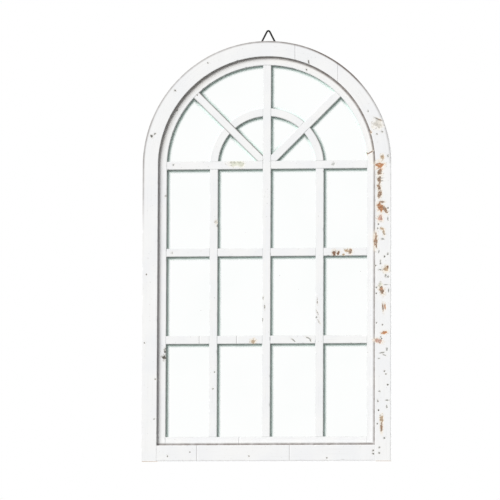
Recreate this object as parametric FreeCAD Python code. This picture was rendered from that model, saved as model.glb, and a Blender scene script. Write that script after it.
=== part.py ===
import FreeCAD, Part
import math
import os

# Arched wall mirror: a wooden frame with a half-round top, a recessed sash with glazing bars and a
# fan light in its rabbet, one mirror sheet and a backing board behind them, and a wire loop to hang it by.
# Lengths are in millimetres and angles in degrees.
# +X is to the right as seen from the front, +Y points to the wall and +Z is up.
# The origin is the middle of the frame's bottom face.

# Outer frame
FRAME_WIDTH = 610.0
SPRING_HEIGHT = 725.0  # bottom face up to the arch's centre
FRAME_FACE = 38.0
LIP_DEPTH = 8.0  # lip in front of the sash
RABBET_WIDTH = 10.0  # step behind the lip for the sash, the glass and the board
RAIL_TENON_LENGTH = 20.0
RAIL_TENON_THICKNESS = 9.0
RAIL_TENON_SHOULDER = 4.0
FRAME_DOWEL_DIAMETER = 6.0
FRAME_DOWEL_LENGTH = 40.0
FRAME_DOWEL_SPACING = 12.0  # the two dowels of one joint, front to back
ARCH_JOINT_ANGLE = 60.0  # joints between the arch's three segments, from each springing

# Sash
SASH_FACE = 21.0  # width that shows inside the frame
SASH_DEPTH = 16.0
SASH_TENON_LENGTH = 15.0
SASH_TENON_THICKNESS = 4.0
SASH_TENON_SHOULDER = 5.0
SASH_DOWEL_DIAMETER = 5.0
SASH_DOWEL_LENGTH = 30.0

# Glazing bars
BAR_WIDTH = 20.0
CENTRE_PANE_EXTRA = 4.0  # width of a centre pane over a side pane's
ROW_PITCH = 214.5
SPOKE_ANGLE = 45.0
STUB_LENGTH = 6.0
STUB_THICKNESS = 4.0
STUB_SHOULDER = 4.0

# Mirror sheet and backing board
GLASS_THICKNESS = 3.0
BOARD_THICKNESS = 3.0

# Turn buttons
BUTTON_WIDTH = 12.0
BUTTON_THICKNESS = 1.6
BUTTON_GRIP = 8.0  # how far a button reaches over the board
RAIL_BUTTON_SPACING = 300.0
BUTTON_ABOVE_BASE = 190.0  # lower stile buttons
BUTTON_BELOW_SPRING = 165.0  # upper stile buttons
ARCH_BUTTON_ANGLE = 45.0
BUTTON_SCREW_DIAMETER = 3.5
BUTTON_SCREW_LENGTH = 14.0
BUTTON_SCREW_HEAD = 7.0
BUTTON_SCREW_HEAD_HEIGHT = 2.2

# Hanger
RING_WIRE = 4.4
RING_BASE = 45.0  # between the points where the legs' centre lines meet the base's
RING_HEIGHT = 44.5  # base line up to the point where the legs' centre lines meet
RING_BEND = 4.0
RING_AXIS_DROP = 10.0  # ring's axis below the top of the frame
STRAP_THICKNESS = 1.2
STRAP_WIDTH = 24.0
STRAP_END_WIDTH = 16.0
STRAP_LENGTH = 16.0
HANGER_SCREW_SPACING = 10.0
HANGER_SCREW_DROP = 9.0  # screws below the ring's axis
HANGER_SCREW_DIAMETER = 3.0
HANGER_SCREW_LENGTH = 14.0
HANGER_SCREW_HEAD = 6.0
HANGER_SCREW_HEAD_HEIGHT = 2.0

# Wall bumpers
BUMPER_DIAMETER = 14.0
BUMPER_THICKNESS = 7.0
BUMPER_HEIGHT = 45.0

# Clearances and screw recesses
GLUE_GAP = 0.1  # round tenons, dowels, halvings and screw shanks
SASH_GAP = 0.5  # sash edge to rabbet
SHEET_GAP = 1.0  # glass and board edges to rabbet
RUNNING_GAP = 0.08  # radial, where a piece turns
BUTTON_GAP = 0.2  # a button's flat faces to the frame and to its screw's head
RECESS_SLOT = 1.0
RECESS_DEPTH = 1.2
RECESS_SHARE = 0.6  # recess across the head

# Radii about the arch's centre, which are half widths below it too
outer_radius = FRAME_WIDTH / 2
sight_radius = outer_radius - FRAME_FACE
rabbet_radius = sight_radius + RABBET_WIDTH
back_radius = (rabbet_radius + outer_radius) / 2
sash_outer_radius = rabbet_radius - SASH_GAP
pane_radius = sight_radius - SASH_FACE
sash_mid_radius = (pane_radius + sash_outer_radius) / 2
centre_pane_width = (2 * pane_radius - 3 * BAR_WIDTH + 2 * CENTRE_PANE_EXTRA) / 4
mullion_pitch = centre_pane_width + BAR_WIDTH
fan_inner_radius = mullion_pitch - BAR_WIDTH / 2
fan_outer_radius = mullion_pitch + BAR_WIDTH / 2

# Planes front to back
frame_depth = LIP_DEPTH + SASH_DEPTH + GLASS_THICKNESS + BOARD_THICKNESS
y_front = -frame_depth / 2
y_sash = y_front + LIP_DEPTH
y_lap = y_sash + SASH_DEPTH / 2
y_glass = y_sash + SASH_DEPTH
y_board = y_glass + GLASS_THICKNESS
y_back = y_board + BOARD_THICKNESS
frame_span = (y_front, y_back)
rabbet_span = (y_sash, y_back)
sash_span = (y_sash, y_glass)
front_half = (y_sash, y_lap)
back_half = (y_lap, y_glass)

# Heights
rabbet_floor = FRAME_FACE - RABBET_WIDTH
pane_floor = FRAME_FACE + SASH_FACE
bar_heights = {
    "transom_bar": SPRING_HEIGHT,
    "upper_bar": SPRING_HEIGHT - ROW_PITCH,
    "lower_bar": SPRING_HEIGHT - 2 * ROW_PITCH,
}
ring_axis_height = SPRING_HEIGHT + outer_radius - RING_AXIS_DROP

# Hanger knuckle, which lies on the back of the frame
knuckle_bore = RING_WIRE / 2 + RUNNING_GAP
knuckle_radius = knuckle_bore + STRAP_THICKNESS
ring_axis_depth = y_back + knuckle_radius

SIDES = {"left": -1, "right": 1}
X_AXIS = FreeCAD.Vector(1, 0, 0)
Y_AXIS = FreeCAD.Vector(0, 1, 0)
ORIGIN = FreeCAD.Vector(0, 0, 0)


# Basic solids
def box(x_span, y_span, z_span):
    """Box between two planes on each axis."""
    corner = FreeCAD.Vector(x_span[0], y_span[0], z_span[0])
    return Part.makeBox(x_span[1] - x_span[0], y_span[1] - y_span[0], z_span[1] - z_span[0], corner)


def centred(width, middle=0.0):
    """Span of a width about a middle."""
    return (middle - width / 2, middle + width / 2)


def prism(edges, y_span):
    """Solid of a closed outline, drawn in the plane y = 0, over a span of depth."""
    face = Part.Face(Part.Wire(edges))
    face.translate(FreeCAD.Vector(0, y_span[0], 0))
    return face.extrude(FreeCAD.Vector(0, y_span[1] - y_span[0], 0))


def on_arch(radius, angle, y=0.0):
    """Point at a radius and an angle from +X about the arch's centre."""
    turn = math.radians(angle)
    return FreeCAD.Vector(radius * math.cos(turn), y, SPRING_HEIGHT + radius * math.sin(turn))


def arc_on_arch(radius, start, end):
    """Arc about the arch's centre."""
    middle = (start + end) / 2
    return Part.Arc(on_arch(radius, start), on_arch(radius, middle), on_arch(radius, end)).toShape()


def arch_sector(radii, y_span, angles):
    """Piece of a ring about the arch's centre."""
    inner, outer = radii
    start, end = angles
    edges = [
        arc_on_arch(outer, start, end),
        Part.makeLine(on_arch(outer, end), on_arch(inner, end)),
        arc_on_arch(inner, end, start),
        Part.makeLine(on_arch(inner, start), on_arch(outer, start)),
    ]
    return prism(edges, y_span)


def arched_sheet(radius, floor, y_span):
    """Sheet with a straight foot and a half-round top."""
    foot = [FreeCAD.Vector(sign * radius, 0, floor) for sign in SIDES.values()]
    edges = [
        Part.makeLine(on_arch(radius, 180), foot[0]),
        Part.makeLine(foot[0], foot[1]),
        Part.makeLine(foot[1], on_arch(radius, 0)),
        arc_on_arch(radius, 0, 90),
        arc_on_arch(radius, 90, 180),
    ]
    return prism(edges, y_span)


def placed(solid, start, angle):
    """Solid drawn along +X, turned to an angle from +X and moved to a start."""
    solid.rotate(ORIGIN, Y_AXIS, -angle)
    solid.translate(FreeCAD.Vector(start.x, 0, start.z))
    return solid


def bar(start, angle, length, width, y_span):
    """Straight bar that leaves a point at an angle from +X."""
    return placed(box((0, length), y_span, centred(width)), start, angle)


def round_ended_bar(start, angle, length, width, y_span):
    """Flat bar whose ends are half round about its start and a point at a length from it."""
    radius = width / 2
    edges = [
        Part.makeLine(FreeCAD.Vector(0, 0, radius), FreeCAD.Vector(length, 0, radius)),
        Part.Arc(
            FreeCAD.Vector(length, 0, radius),
            FreeCAD.Vector(length + radius, 0, 0),
            FreeCAD.Vector(length, 0, -radius),
        ).toShape(),
        Part.makeLine(FreeCAD.Vector(length, 0, -radius), FreeCAD.Vector(0, 0, -radius)),
        Part.Arc(
            FreeCAD.Vector(0, 0, -radius),
            FreeCAD.Vector(-radius, 0, 0),
            FreeCAD.Vector(0, 0, radius),
        ).toShape(),
    ]
    return placed(prism(edges, y_span), start, angle)


def rod(centre, direction, diameter, length):
    """Round rod about its centre."""
    return Part.makeCylinder(diameter / 2, length, centre - direction * (length / 2), direction)


# Joints in the wood
def stub(shoulder, angle, gap=0.0):
    """Stub tenon of a glazing bar, rooted as deep in the bar as it stands out, or its mortise with a gap."""
    width = BAR_WIDTH - 2 * STUB_SHOULDER + 2 * gap
    turn = math.radians(angle)
    root = FreeCAD.Vector(math.cos(turn), 0, math.sin(turn)) * STUB_LENGTH
    depth = centred(STUB_THICKNESS + 2 * gap, y_lap)
    return bar(shoulder - root, angle, 2 * STUB_LENGTH + gap, width, depth)


def rail_tenon(sign, gap=0.0):
    """Tenon of the bottom rail into a stile, or its mortise."""
    height = rabbet_floor - 2 * RAIL_TENON_SHOULDER + 2 * gap
    start = FreeCAD.Vector(sign * sight_radius, 0, rabbet_floor / 2)
    depth = centred(RAIL_TENON_THICKNESS + 2 * gap)
    return bar(start, 90 - 90 * sign, RAIL_TENON_LENGTH + gap, height, depth)


def sash_tenon(sign, gap=0.0):
    """Tenon of the sash's bottom rail into its stile, or its mortise."""
    height = pane_floor - rabbet_floor - 2 * SASH_TENON_SHOULDER + 2 * gap
    start = FreeCAD.Vector(sign * pane_radius, 0, (rabbet_floor + pane_floor) / 2)
    depth = centred(SASH_TENON_THICKNESS + 2 * gap, y_lap)
    return bar(start, 90 - 90 * sign, SASH_TENON_LENGTH + gap, height, depth)


def arch_joint_angles():
    """Angles of the arch's joints, from the right springing to the left one."""
    return [0.0, ARCH_JOINT_ANGLE, 180.0 - ARCH_JOINT_ANGLE, 180.0]


def arch_dowels(radius, depths, diameter, length, gap=0.0):
    """Dowels across the arch's joints, or their holes."""
    rods = []
    for angle in arch_joint_angles():
        along = on_arch(1, angle + 90) - on_arch(0, 0)
        for depth in depths:
            rods.append(rod(on_arch(radius, angle, depth), along, diameter + 2 * gap, length + 2 * gap))
    return rods


def frame_dowels(gap=0.0):
    """Dowels of the outer frame, or their holes."""
    depths = centred(FRAME_DOWEL_SPACING)
    return arch_dowels(back_radius, depths, FRAME_DOWEL_DIAMETER, FRAME_DOWEL_LENGTH, gap)


def sash_dowels(gap=0.0):
    """Dowels of the sash, or their holes."""
    return arch_dowels(sash_mid_radius, (y_lap,), SASH_DOWEL_DIAMETER, SASH_DOWEL_LENGTH, gap)


# Screws
def screw(foot, diameter, length, head, head_height):
    """Pan-head wood screw whose head stands behind a point and whose shank runs to the front."""
    radius = diameter / 2
    dome = head_height / 2
    dome_radius = (head**2 / 4 + dome**2) / (2 * dome)
    half_turn = math.asin(head / 2 / dome_radius) / 2
    drop = dome_radius * (1 - math.cos(half_turn))
    crown = FreeCAD.Vector(0, head_height, 0)
    shoulder = FreeCAD.Vector(dome_radius * math.sin(half_turn), head_height - drop, 0)
    rim = FreeCAD.Vector(head / 2, head_height - dome, 0)
    points = [
        crown,
        FreeCAD.Vector(0, -length, 0),
        FreeCAD.Vector(radius, -length + diameter, 0),
        FreeCAD.Vector(radius, 0, 0),
        FreeCAD.Vector(head / 2, 0, 0),
        rim,
    ]
    edges = [Part.makeLine(*pair) for pair in zip(points, points[1:])]
    edges.append(Part.Arc(rim, shoulder, crown).toShape())
    solid = Part.Face(Part.Wire(edges)).revolve(ORIGIN, Y_AXIS, 360)
    recess = (head_height - RECESS_DEPTH, 2 * head_height)
    across = centred(head * RECESS_SHARE)
    slot = centred(RECESS_SLOT)
    solid = solid.cut([box(across, recess, slot), box(slot, recess, across)])
    solid.translate(foot)
    return solid


def screw_hole(foot, diameter, length):
    """Hole for a screw's shank, from a point to the front."""
    return Part.makeCylinder(diameter / 2 + GLUE_GAP, length + GLUE_GAP, foot, -Y_AXIS)


# Turn buttons
def button_places():
    """Pivot on the frame's back and inward heading of each turn button."""
    stile_heights = {"low": BUTTON_ABOVE_BASE, "high": SPRING_HEIGHT - BUTTON_BELOW_SPRING}
    places = {}
    for side, sign in SIDES.items():
        inward = 90 + 90 * sign
        rail_pivot = FreeCAD.Vector(sign * RAIL_BUTTON_SPACING / 2, y_back, rabbet_floor / 2)
        places[f"rail_button_{side}"] = (rail_pivot, 90)
        for level, height in stile_heights.items():
            pivot = FreeCAD.Vector(sign * back_radius, y_back, height)
            places[f"stile_button_{side}_{level}"] = (pivot, inward)
        arch_angle = 90 - sign * (90 - ARCH_BUTTON_ANGLE)
        places[f"arch_button_{side}"] = (on_arch(back_radius, arch_angle, y_back), arch_angle + 180)
    return places


def turn_button(pivot, heading, edge_distance):
    """Flat button that turns on its screw and reaches over the board."""
    reach = edge_distance + BUTTON_GRIP - BUTTON_WIDTH / 2
    y_span = (y_back + BUTTON_GAP, y_back + BUTTON_GAP + BUTTON_THICKNESS)
    plate = round_ended_bar(pivot, heading, reach, BUTTON_WIDTH, y_span)
    hole = rod(pivot, Y_AXIS, BUTTON_SCREW_DIAMETER + 2 * RUNNING_GAP, 4 * BUTTON_THICKNESS)
    return plate.cut(hole)


def turn_buttons():
    """The buttons by name."""
    nodes = {}
    for name, (pivot, heading) in button_places().items():
        on_rail = name.startswith("rail")
        edge_distance = rabbet_floor / 2 if on_rail else back_radius - rabbet_radius
        nodes[name] = turn_button(pivot, heading, edge_distance)
    return nodes


def button_screw_feet():
    """Point under the head of each turn button's screw."""
    lift = Y_AXIS * (2 * BUTTON_GAP + BUTTON_THICKNESS)
    return [pivot + lift for pivot, heading in button_places().values()]


def button_screws():
    """One screw for each turn button."""
    head = (BUTTON_SCREW_HEAD, BUTTON_SCREW_HEAD_HEIGHT)
    return [screw(foot, BUTTON_SCREW_DIAMETER, BUTTON_SCREW_LENGTH, *head) for foot in button_screw_feet()]


# Hanger
def hanger_screw_feet():
    """Point under the head of each hanger screw, on the strap's plate."""
    height = ring_axis_height - HANGER_SCREW_DROP
    depth = y_back + STRAP_THICKNESS
    return [FreeCAD.Vector(x, depth, height) for x in centred(HANGER_SCREW_SPACING)]


def hanger_screws():
    """Screws that hold the strap."""
    head = (HANGER_SCREW_HEAD, HANGER_SCREW_HEAD_HEIGHT)
    return [screw(foot, HANGER_SCREW_DIAMETER, HANGER_SCREW_LENGTH, *head) for foot in hanger_screw_feet()]


def frame_screw_holes():
    """Holes in the frame for the screws of the buttons and of the hanger."""
    holes = [screw_hole(foot, BUTTON_SCREW_DIAMETER, BUTTON_SCREW_LENGTH) for foot in button_screw_feet()]
    holes += [screw_hole(foot, HANGER_SCREW_DIAMETER, HANGER_SCREW_LENGTH) for foot in hanger_screw_feet()]
    return holes


def strap_section():
    """Side view of the strap: a plate on the frame's back, rolled over the ring's axis."""
    plate_back = y_back + STRAP_THICKNESS
    plate_foot = ring_axis_height - STRAP_LENGTH
    roll_drop = math.sqrt(knuckle_radius**2 - (ring_axis_depth - plate_back) ** 2)

    def point(y, z):
        return FreeCAD.Vector(0, y, z)

    roll_start = point(y_back, ring_axis_height)
    roll_top = point(ring_axis_depth, ring_axis_height + knuckle_radius)
    roll_back = point(ring_axis_depth + knuckle_radius, ring_axis_height)
    roll_low = point(ring_axis_depth, ring_axis_height - knuckle_radius)
    roll_end = point(plate_back, ring_axis_height - roll_drop)
    turn_low = knuckle_radius * math.sqrt(0.5)
    roll_side = point(ring_axis_depth + turn_low, ring_axis_height - turn_low)
    middle_angle = (math.pi / 2 + math.atan2(roll_drop, ring_axis_depth - plate_back)) / 2
    roll_near = point(
        ring_axis_depth - knuckle_radius * math.cos(middle_angle),
        ring_axis_height - knuckle_radius * math.sin(middle_angle),
    )
    return [
        Part.makeLine(point(y_back, plate_foot), roll_start),
        Part.Arc(roll_start, roll_top, roll_back).toShape(),
        Part.Arc(roll_back, roll_side, roll_low).toShape(),
        Part.Arc(roll_low, roll_near, roll_end).toShape(),
        Part.makeLine(roll_end, point(plate_back, plate_foot)),
        Part.makeLine(point(plate_back, plate_foot), point(y_back, plate_foot)),
    ]


def hanger_strap():
    """Strap with the knuckle for the ring, tapered so that the ring can hang down past it."""
    face = Part.Face(Part.Wire(strap_section()))
    face.translate(X_AXIS * (-STRAP_WIDTH / 2))
    strap = face.extrude(X_AXIS * STRAP_WIDTH)
    top = ring_axis_height + 2 * knuckle_radius
    taper_start = ring_axis_height - knuckle_radius
    foot = ring_axis_height - STRAP_LENGTH
    corners = [
        (-STRAP_WIDTH / 2, top),
        (STRAP_WIDTH / 2, top),
        (STRAP_WIDTH / 2, taper_start),
        (STRAP_END_WIDTH / 2, foot),
        (-STRAP_END_WIDTH / 2, foot),
        (-STRAP_WIDTH / 2, taper_start),
        (-STRAP_WIDTH / 2, top),
    ]
    points = [FreeCAD.Vector(x, 0, z) for x, z in corners]
    edges = [Part.makeLine(*pair) for pair in zip(points, points[1:])]
    strap = strap.common(prism(edges, (y_back, ring_axis_depth + 2 * knuckle_radius)))
    axis_point = FreeCAD.Vector(0, ring_axis_depth, ring_axis_height)
    bore = rod(axis_point, X_AXIS, 2 * knuckle_bore, 2 * STRAP_WIDTH)
    holes = [
        rod(foot_point, Y_AXIS, HANGER_SCREW_DIAMETER + 2 * GLUE_GAP, 4 * STRAP_THICKNESS)
        for foot_point in hanger_screw_feet()
    ]
    return strap.cut([bore] + holes)


def rounded_corner(before, corner, after, radius):
    """Start, middle and end of the arc that rounds a corner."""
    to_before = (before - corner).normalize()
    to_after = (after - corner).normalize()
    half_angle = to_before.getAngle(to_after) / 2
    tangent = radius / math.tan(half_angle)
    inward = (to_before + to_after).normalize()
    nearest = radius / math.sin(half_angle) - radius
    return corner + to_before * tangent, corner + inward * nearest, corner + to_after * tangent


def hanger_ring():
    """Triangular loop of round wire whose base turns in the strap's knuckle."""
    base = FreeCAD.Vector(0, ring_axis_depth, ring_axis_height)
    corners = [
        base + X_AXIS * (RING_BASE / 2),
        base + FreeCAD.Vector(0, 0, RING_HEIGHT),
        base - X_AXIS * (RING_BASE / 2),
    ]
    edges = []
    end = base
    for index, corner in enumerate(corners):
        before = corners[index - 1]
        after = corners[(index + 1) % len(corners)]
        start, middle, leave = rounded_corner(before, corner, after, RING_BEND)
        edges.append(Part.makeLine(end, start))
        edges.append(Part.Arc(start, middle, leave).toShape())
        end = leave
    edges.append(Part.makeLine(end, base))
    section = Part.Wire([Part.makeCircle(RING_WIRE / 2, base, X_AXIS)])
    return Part.Wire(edges).makePipeShell([section], True, False)


# Outer frame
def frame_stile(sign):
    """Upright of the frame, rabbeted behind its inner edge."""
    stile = box(sorted((sign * sight_radius, sign * outer_radius)), frame_span, (0, SPRING_HEIGHT))
    rabbet = box(
        sorted((sign * sight_radius, sign * rabbet_radius)), rabbet_span, (rabbet_floor, SPRING_HEIGHT)
    )
    return stile.cut([rabbet, rail_tenon(sign, GLUE_GAP)] + frame_dowels(GLUE_GAP) + frame_screw_holes())


def bottom_rail():
    """Rail between the stiles, with a tenon at each end."""
    width = centred(2 * sight_radius)
    rail = box(width, frame_span, (0, FRAME_FACE))
    rail = rail.cut([box(width, rabbet_span, (rabbet_floor, FRAME_FACE))] + frame_screw_holes())
    return rail.fuse([rail_tenon(sign) for sign in SIDES.values()])


def frame_arch_segment(angles):
    """Bent segment of the frame's arch."""
    segment = arch_sector((sight_radius, outer_radius), frame_span, angles)
    rabbet = arch_sector((sight_radius, rabbet_radius), rabbet_span, angles)
    return segment.cut([rabbet] + frame_dowels(GLUE_GAP) + frame_screw_holes())


def arch_segments(build):
    """Segments of an arch by name, each built between two joints."""
    angles = arch_joint_angles()
    spans = zip(angles, angles[1:])
    return {name: build(span) for name, span in zip(("arch_right", "arch_crown", "arch_left"), spans)}


def outer_frame():
    """The frame's pieces by name."""
    nodes = {f"{side}_stile": frame_stile(sign) for side, sign in SIDES.items()}
    nodes["bottom_rail"] = bottom_rail()
    nodes.update(arch_segments(frame_arch_segment))
    nodes["frame_dowels"] = Part.makeCompound(frame_dowels())
    return nodes


# Glazing bars
def mullion_positions():
    """Place across the mirror of each mullion."""
    return {"left_mullion": -mullion_pitch, "center_mullion": 0.0, "right_mullion": mullion_pitch}


def spoke_angles():
    """Angle from +X of each spoke of the fan."""
    return {"right_spoke": SPOKE_ANGLE, "left_spoke": 180 - SPOKE_ANGLE}


def mullion_top(x):
    """Height where a mullion ends: the centre one at the sash's arch, the others under the transom."""
    return SPRING_HEIGHT + pane_radius if x == 0 else SPRING_HEIGHT - BAR_WIDTH / 2


def mullion_blank(x, y_span, gap=0.0):
    """Mullion between its shoulders, before its halvings, or with a gap the space for it."""
    start = FreeCAD.Vector(x, 0, pane_floor)
    return bar(start, 90, mullion_top(x) - pane_floor, BAR_WIDTH + 2 * gap, y_span)


def cross_bar_blank(height, y_span, gap=0.0):
    """Horizontal bar between its shoulders, or the space for it."""
    start = FreeCAD.Vector(-pane_radius, 0, height)
    return bar(start, 0, 2 * pane_radius, BAR_WIDTH + 2 * gap, y_span)


def spoke_blank(angle, y_span, gap=0.0):
    """Spoke from the fan's centre to the sash's arch, or the space for it."""
    return bar(on_arch(0, 0), angle, pane_radius, BAR_WIDTH + 2 * gap, y_span)


def fan_arch_blank(y_span, gap=0.0):
    """Half-round bar of the fan, or the space for it."""
    return arch_sector((fan_inner_radius - gap, fan_outer_radius + gap), y_span, (0, 180))


def sash_opening():
    """Space inside the sash, to which the bars' ends are shaped."""
    arch = Part.makeCylinder(pane_radius - GLUE_GAP, SASH_DEPTH, on_arch(0, 0, y_sash), Y_AXIS)
    return arch.fuse(box(centred(2 * pane_radius), sash_span, (pane_floor, SPRING_HEIGHT)))


def fan_foot_stubs(gap=0.0):
    """Stub tenons of the fan arch into the transom, or their mortises."""
    top = SPRING_HEIGHT + BAR_WIDTH / 2
    return [stub(FreeCAD.Vector(sign * mullion_pitch, 0, top), 270, gap) for sign in SIDES.values()]


def mullion_stubs(x, gap=0.0):
    """Stub tenons at a mullion's two ends, or their mortises."""
    foot = FreeCAD.Vector(x, 0, pane_floor)
    head = FreeCAD.Vector(x, 0, mullion_top(x))
    return [stub(foot, 270, gap), stub(head, 90, gap)]


def cross_bar_stubs(height, gap=0.0):
    """Stub tenons at a horizontal bar's two ends, or their mortises."""
    return [
        stub(FreeCAD.Vector(sign * pane_radius, 0, height), 90 - 90 * sign, gap)
        for sign in SIDES.values()
    ]


def spoke_stub(angle, gap=0.0):
    """Stub tenon at a spoke's outer end, or its mortise."""
    return stub(on_arch(pane_radius, angle), angle, gap)


def sash_mortises():
    """Mortises in the sash for the bars' stub tenons."""
    mortises = [spoke_stub(angle, GLUE_GAP) for angle in spoke_angles().values()]
    for x in mullion_positions().values():
        mortises += mullion_stubs(x, GLUE_GAP)
    for height in bar_heights.values():
        mortises += cross_bar_stubs(height, GLUE_GAP)
    return mortises


def mullion(x):
    """Mullion, halved at the back where it crosses the other bars."""
    crossed = [height for height in bar_heights.values() if height < mullion_top(x)]
    crossings = [cross_bar_blank(height, back_half, GLUE_GAP) for height in crossed]
    if x == 0:
        crossings.append(fan_arch_blank(back_half, GLUE_GAP))
    body = mullion_blank(x, sash_span).common(sash_opening())
    return body.cut(crossings).fuse(mullion_stubs(x))


def cross_bar(name):
    """Horizontal bar, halved at the front where the mullions cross it."""
    height = bar_heights[name]
    body = cross_bar_blank(height, sash_span).common(sash_opening())
    for x in mullion_positions().values():
        passes = mullion_top(x) > height
        if passes:
            body = body.cut(mullion_blank(x, front_half, GLUE_GAP))
        else:
            body = body.cut(mullion_stubs(x, GLUE_GAP)[1])
    if name == "transom_bar":
        body = body.cut(fan_foot_stubs(GLUE_GAP))
    return body.fuse(cross_bar_stubs(height))


def fan_arch():
    """Half-round bar that stands on the transom, halved at the front where the radial bars cross it."""
    crossings = [spoke_blank(angle, front_half, GLUE_GAP) for angle in spoke_angles().values()]
    crossings.append(mullion_blank(0.0, front_half, GLUE_GAP))
    crossings.append(cross_bar_blank(SPRING_HEIGHT, sash_span))
    return fan_arch_blank(sash_span).cut(crossings).fuse(fan_foot_stubs())


def spoke(angle):
    """Spoke of the fan, cut to the corner of the centre mullion and the transom."""
    body = spoke_blank(angle, sash_span).common(sash_opening())
    corner = [
        mullion_blank(0.0, sash_span, GLUE_GAP),
        cross_bar_blank(SPRING_HEIGHT, sash_span, GLUE_GAP),
        fan_arch_blank(back_half, GLUE_GAP),
    ]
    return body.cut(corner).fuse(spoke_stub(angle))


def glazing_bars():
    """The bars by name."""
    nodes = {name: mullion(x) for name, x in mullion_positions().items()}
    nodes.update({name: cross_bar(name) for name in bar_heights})
    nodes["fan_arch"] = fan_arch()
    nodes.update({name: spoke(angle) for name, angle in spoke_angles().items()})
    return nodes


# Sash
def sash_stile(sign):
    """Upright of the sash."""
    width = sorted((sign * pane_radius, sign * sash_outer_radius))
    stile = box(width, sash_span, (rabbet_floor, SPRING_HEIGHT))
    return stile.cut([sash_tenon(sign, GLUE_GAP)] + sash_dowels(GLUE_GAP) + sash_mortises())


def sash_bottom_rail():
    """Bottom rail of the sash, with a tenon at each end."""
    rail = box(centred(2 * pane_radius), sash_span, (rabbet_floor, pane_floor)).cut(sash_mortises())
    return rail.fuse([sash_tenon(sign) for sign in SIDES.values()])


def sash_arch_segment(angles):
    """Bent segment of the sash's arch."""
    segment = arch_sector((pane_radius, sash_outer_radius), sash_span, angles)
    return segment.cut(sash_dowels(GLUE_GAP) + sash_mortises())


def sash():
    """The sash's pieces by name."""
    nodes = {f"sash_{side}_stile": sash_stile(sign) for side, sign in SIDES.items()}
    nodes["sash_bottom_rail"] = sash_bottom_rail()
    segments = arch_segments(sash_arch_segment)
    nodes.update({f"sash_{name}": segment for name, segment in segments.items()})
    nodes["sash_dowels"] = Part.makeCompound(sash_dowels())
    return nodes


# Back
def wall_bumpers():
    """Soft pads on the lower back corners."""
    pads = []
    for sign in SIDES.values():
        foot = FreeCAD.Vector(sign * back_radius, y_back, BUMPER_HEIGHT)
        pads.append(Part.makeCylinder(BUMPER_DIAMETER / 2, BUMPER_THICKNESS, foot, Y_AXIS))
    return Part.makeCompound(pads)


def back():
    """Mirror sheet, board and what is fixed behind them, by name."""
    sheet_radius = rabbet_radius - SHEET_GAP
    nodes = {
        "mirror_glass": arched_sheet(sheet_radius, rabbet_floor, (y_glass, y_board)),
        "backing_board": arched_sheet(sheet_radius, rabbet_floor, (y_board, y_back)),
    }
    nodes.update(turn_buttons())
    nodes["button_screws"] = Part.makeCompound(button_screws())
    nodes["hanger_strap"] = hanger_strap()
    nodes["hanger_ring"] = hanger_ring()
    nodes["hanger_screws"] = Part.makeCompound(hanger_screws())
    nodes["wall_bumpers"] = wall_bumpers()
    return nodes


def main():
    """Build every piece and write it to its own file."""
    os.makedirs("parts", exist_ok=True)
    for group in (outer_frame(), sash(), glazing_bars(), back()):
        for name, shape in group.items():
            if not shape.isValid():
                raise ValueError(f"{name} is not a valid shape")
            shape.exportStep(f"parts/{name}.step")
            print(f"{name}: {len(shape.Solids)} solid(s), {shape.Volume / 1000:.2f} cm3")


main()
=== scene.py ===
"""Looks of an arched wall mirror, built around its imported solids.

A white painted wooden frame with a half-round top, a recessed sash with glazing bars and a fan light
in front of one mirror sheet, and the fittings on its back. Sizes are in millimetres and angles in
degrees unless a name says otherwise. Meshes are written in metres, in the frame of the solids: +X
right, +Y to the wall, +Z up.
"""

import logging
import math
from collections.abc import Callable, Iterator, Sequence
from dataclasses import dataclass, field
from enum import Enum

import bmesh
import bpy
import numpy as np
from mathutils import Matrix, Vector

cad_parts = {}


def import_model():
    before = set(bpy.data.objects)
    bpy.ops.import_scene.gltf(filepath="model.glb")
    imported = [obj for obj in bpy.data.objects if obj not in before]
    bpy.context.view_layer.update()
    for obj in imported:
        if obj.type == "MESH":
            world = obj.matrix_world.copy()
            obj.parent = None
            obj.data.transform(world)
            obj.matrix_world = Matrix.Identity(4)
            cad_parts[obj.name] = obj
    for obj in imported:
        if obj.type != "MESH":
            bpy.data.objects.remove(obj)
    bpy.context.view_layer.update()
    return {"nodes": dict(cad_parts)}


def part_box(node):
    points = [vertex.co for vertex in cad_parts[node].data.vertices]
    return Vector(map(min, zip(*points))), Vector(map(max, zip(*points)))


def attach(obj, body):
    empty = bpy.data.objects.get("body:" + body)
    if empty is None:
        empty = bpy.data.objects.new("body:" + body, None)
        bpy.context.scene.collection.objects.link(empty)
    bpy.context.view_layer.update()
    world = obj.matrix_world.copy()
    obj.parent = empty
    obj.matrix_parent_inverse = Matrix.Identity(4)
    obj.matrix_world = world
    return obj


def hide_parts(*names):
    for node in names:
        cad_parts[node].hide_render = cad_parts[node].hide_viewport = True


MM = 0.001
BODY = "mirror"
LOG = logging.getLogger("arched_mirror")

Array = np.ndarray
Values = Array | float
Socket = bpy.types.NodeSocket
Material = bpy.types.Material
Mesh = bpy.types.Mesh
Nodes = bpy.types.NodeTree
Thing = bpy.types.Object
Value = Socket | float | int | tuple[float, ...]
Sockets = dict[str | int, Value]
Colour = tuple[float, float, float]
Pair = tuple[float, float]
Face = tuple[int, ...]
Places = Callable[[Array, Array], tuple[Array, Array]]
Stop = Callable[[Array], Array] | float

# Gap beside the sash in its rabbet, ease of the back's arrises, and depths that count as one
SASH_GAP = 0.5
BACK_EASE = 0.4
SAME_DEPTH = 0.01
# Digits in which the wood's points agree where they are one
JOIN_DIGITS = 3
# How strongly the bars' and the sash's sides are darkened with a green painted shade, darkest towards the
# glass
SIDE_SHADE = 0.7
# Points round a front arris, a button's corner and hole, and the loop's bends and wire
ARRIS_POINTS = 6
CORNER_POINTS = 14
HOLE_POINTS = 32
BEND_POINTS = 12
WIRE_POINTS = 20
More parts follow.
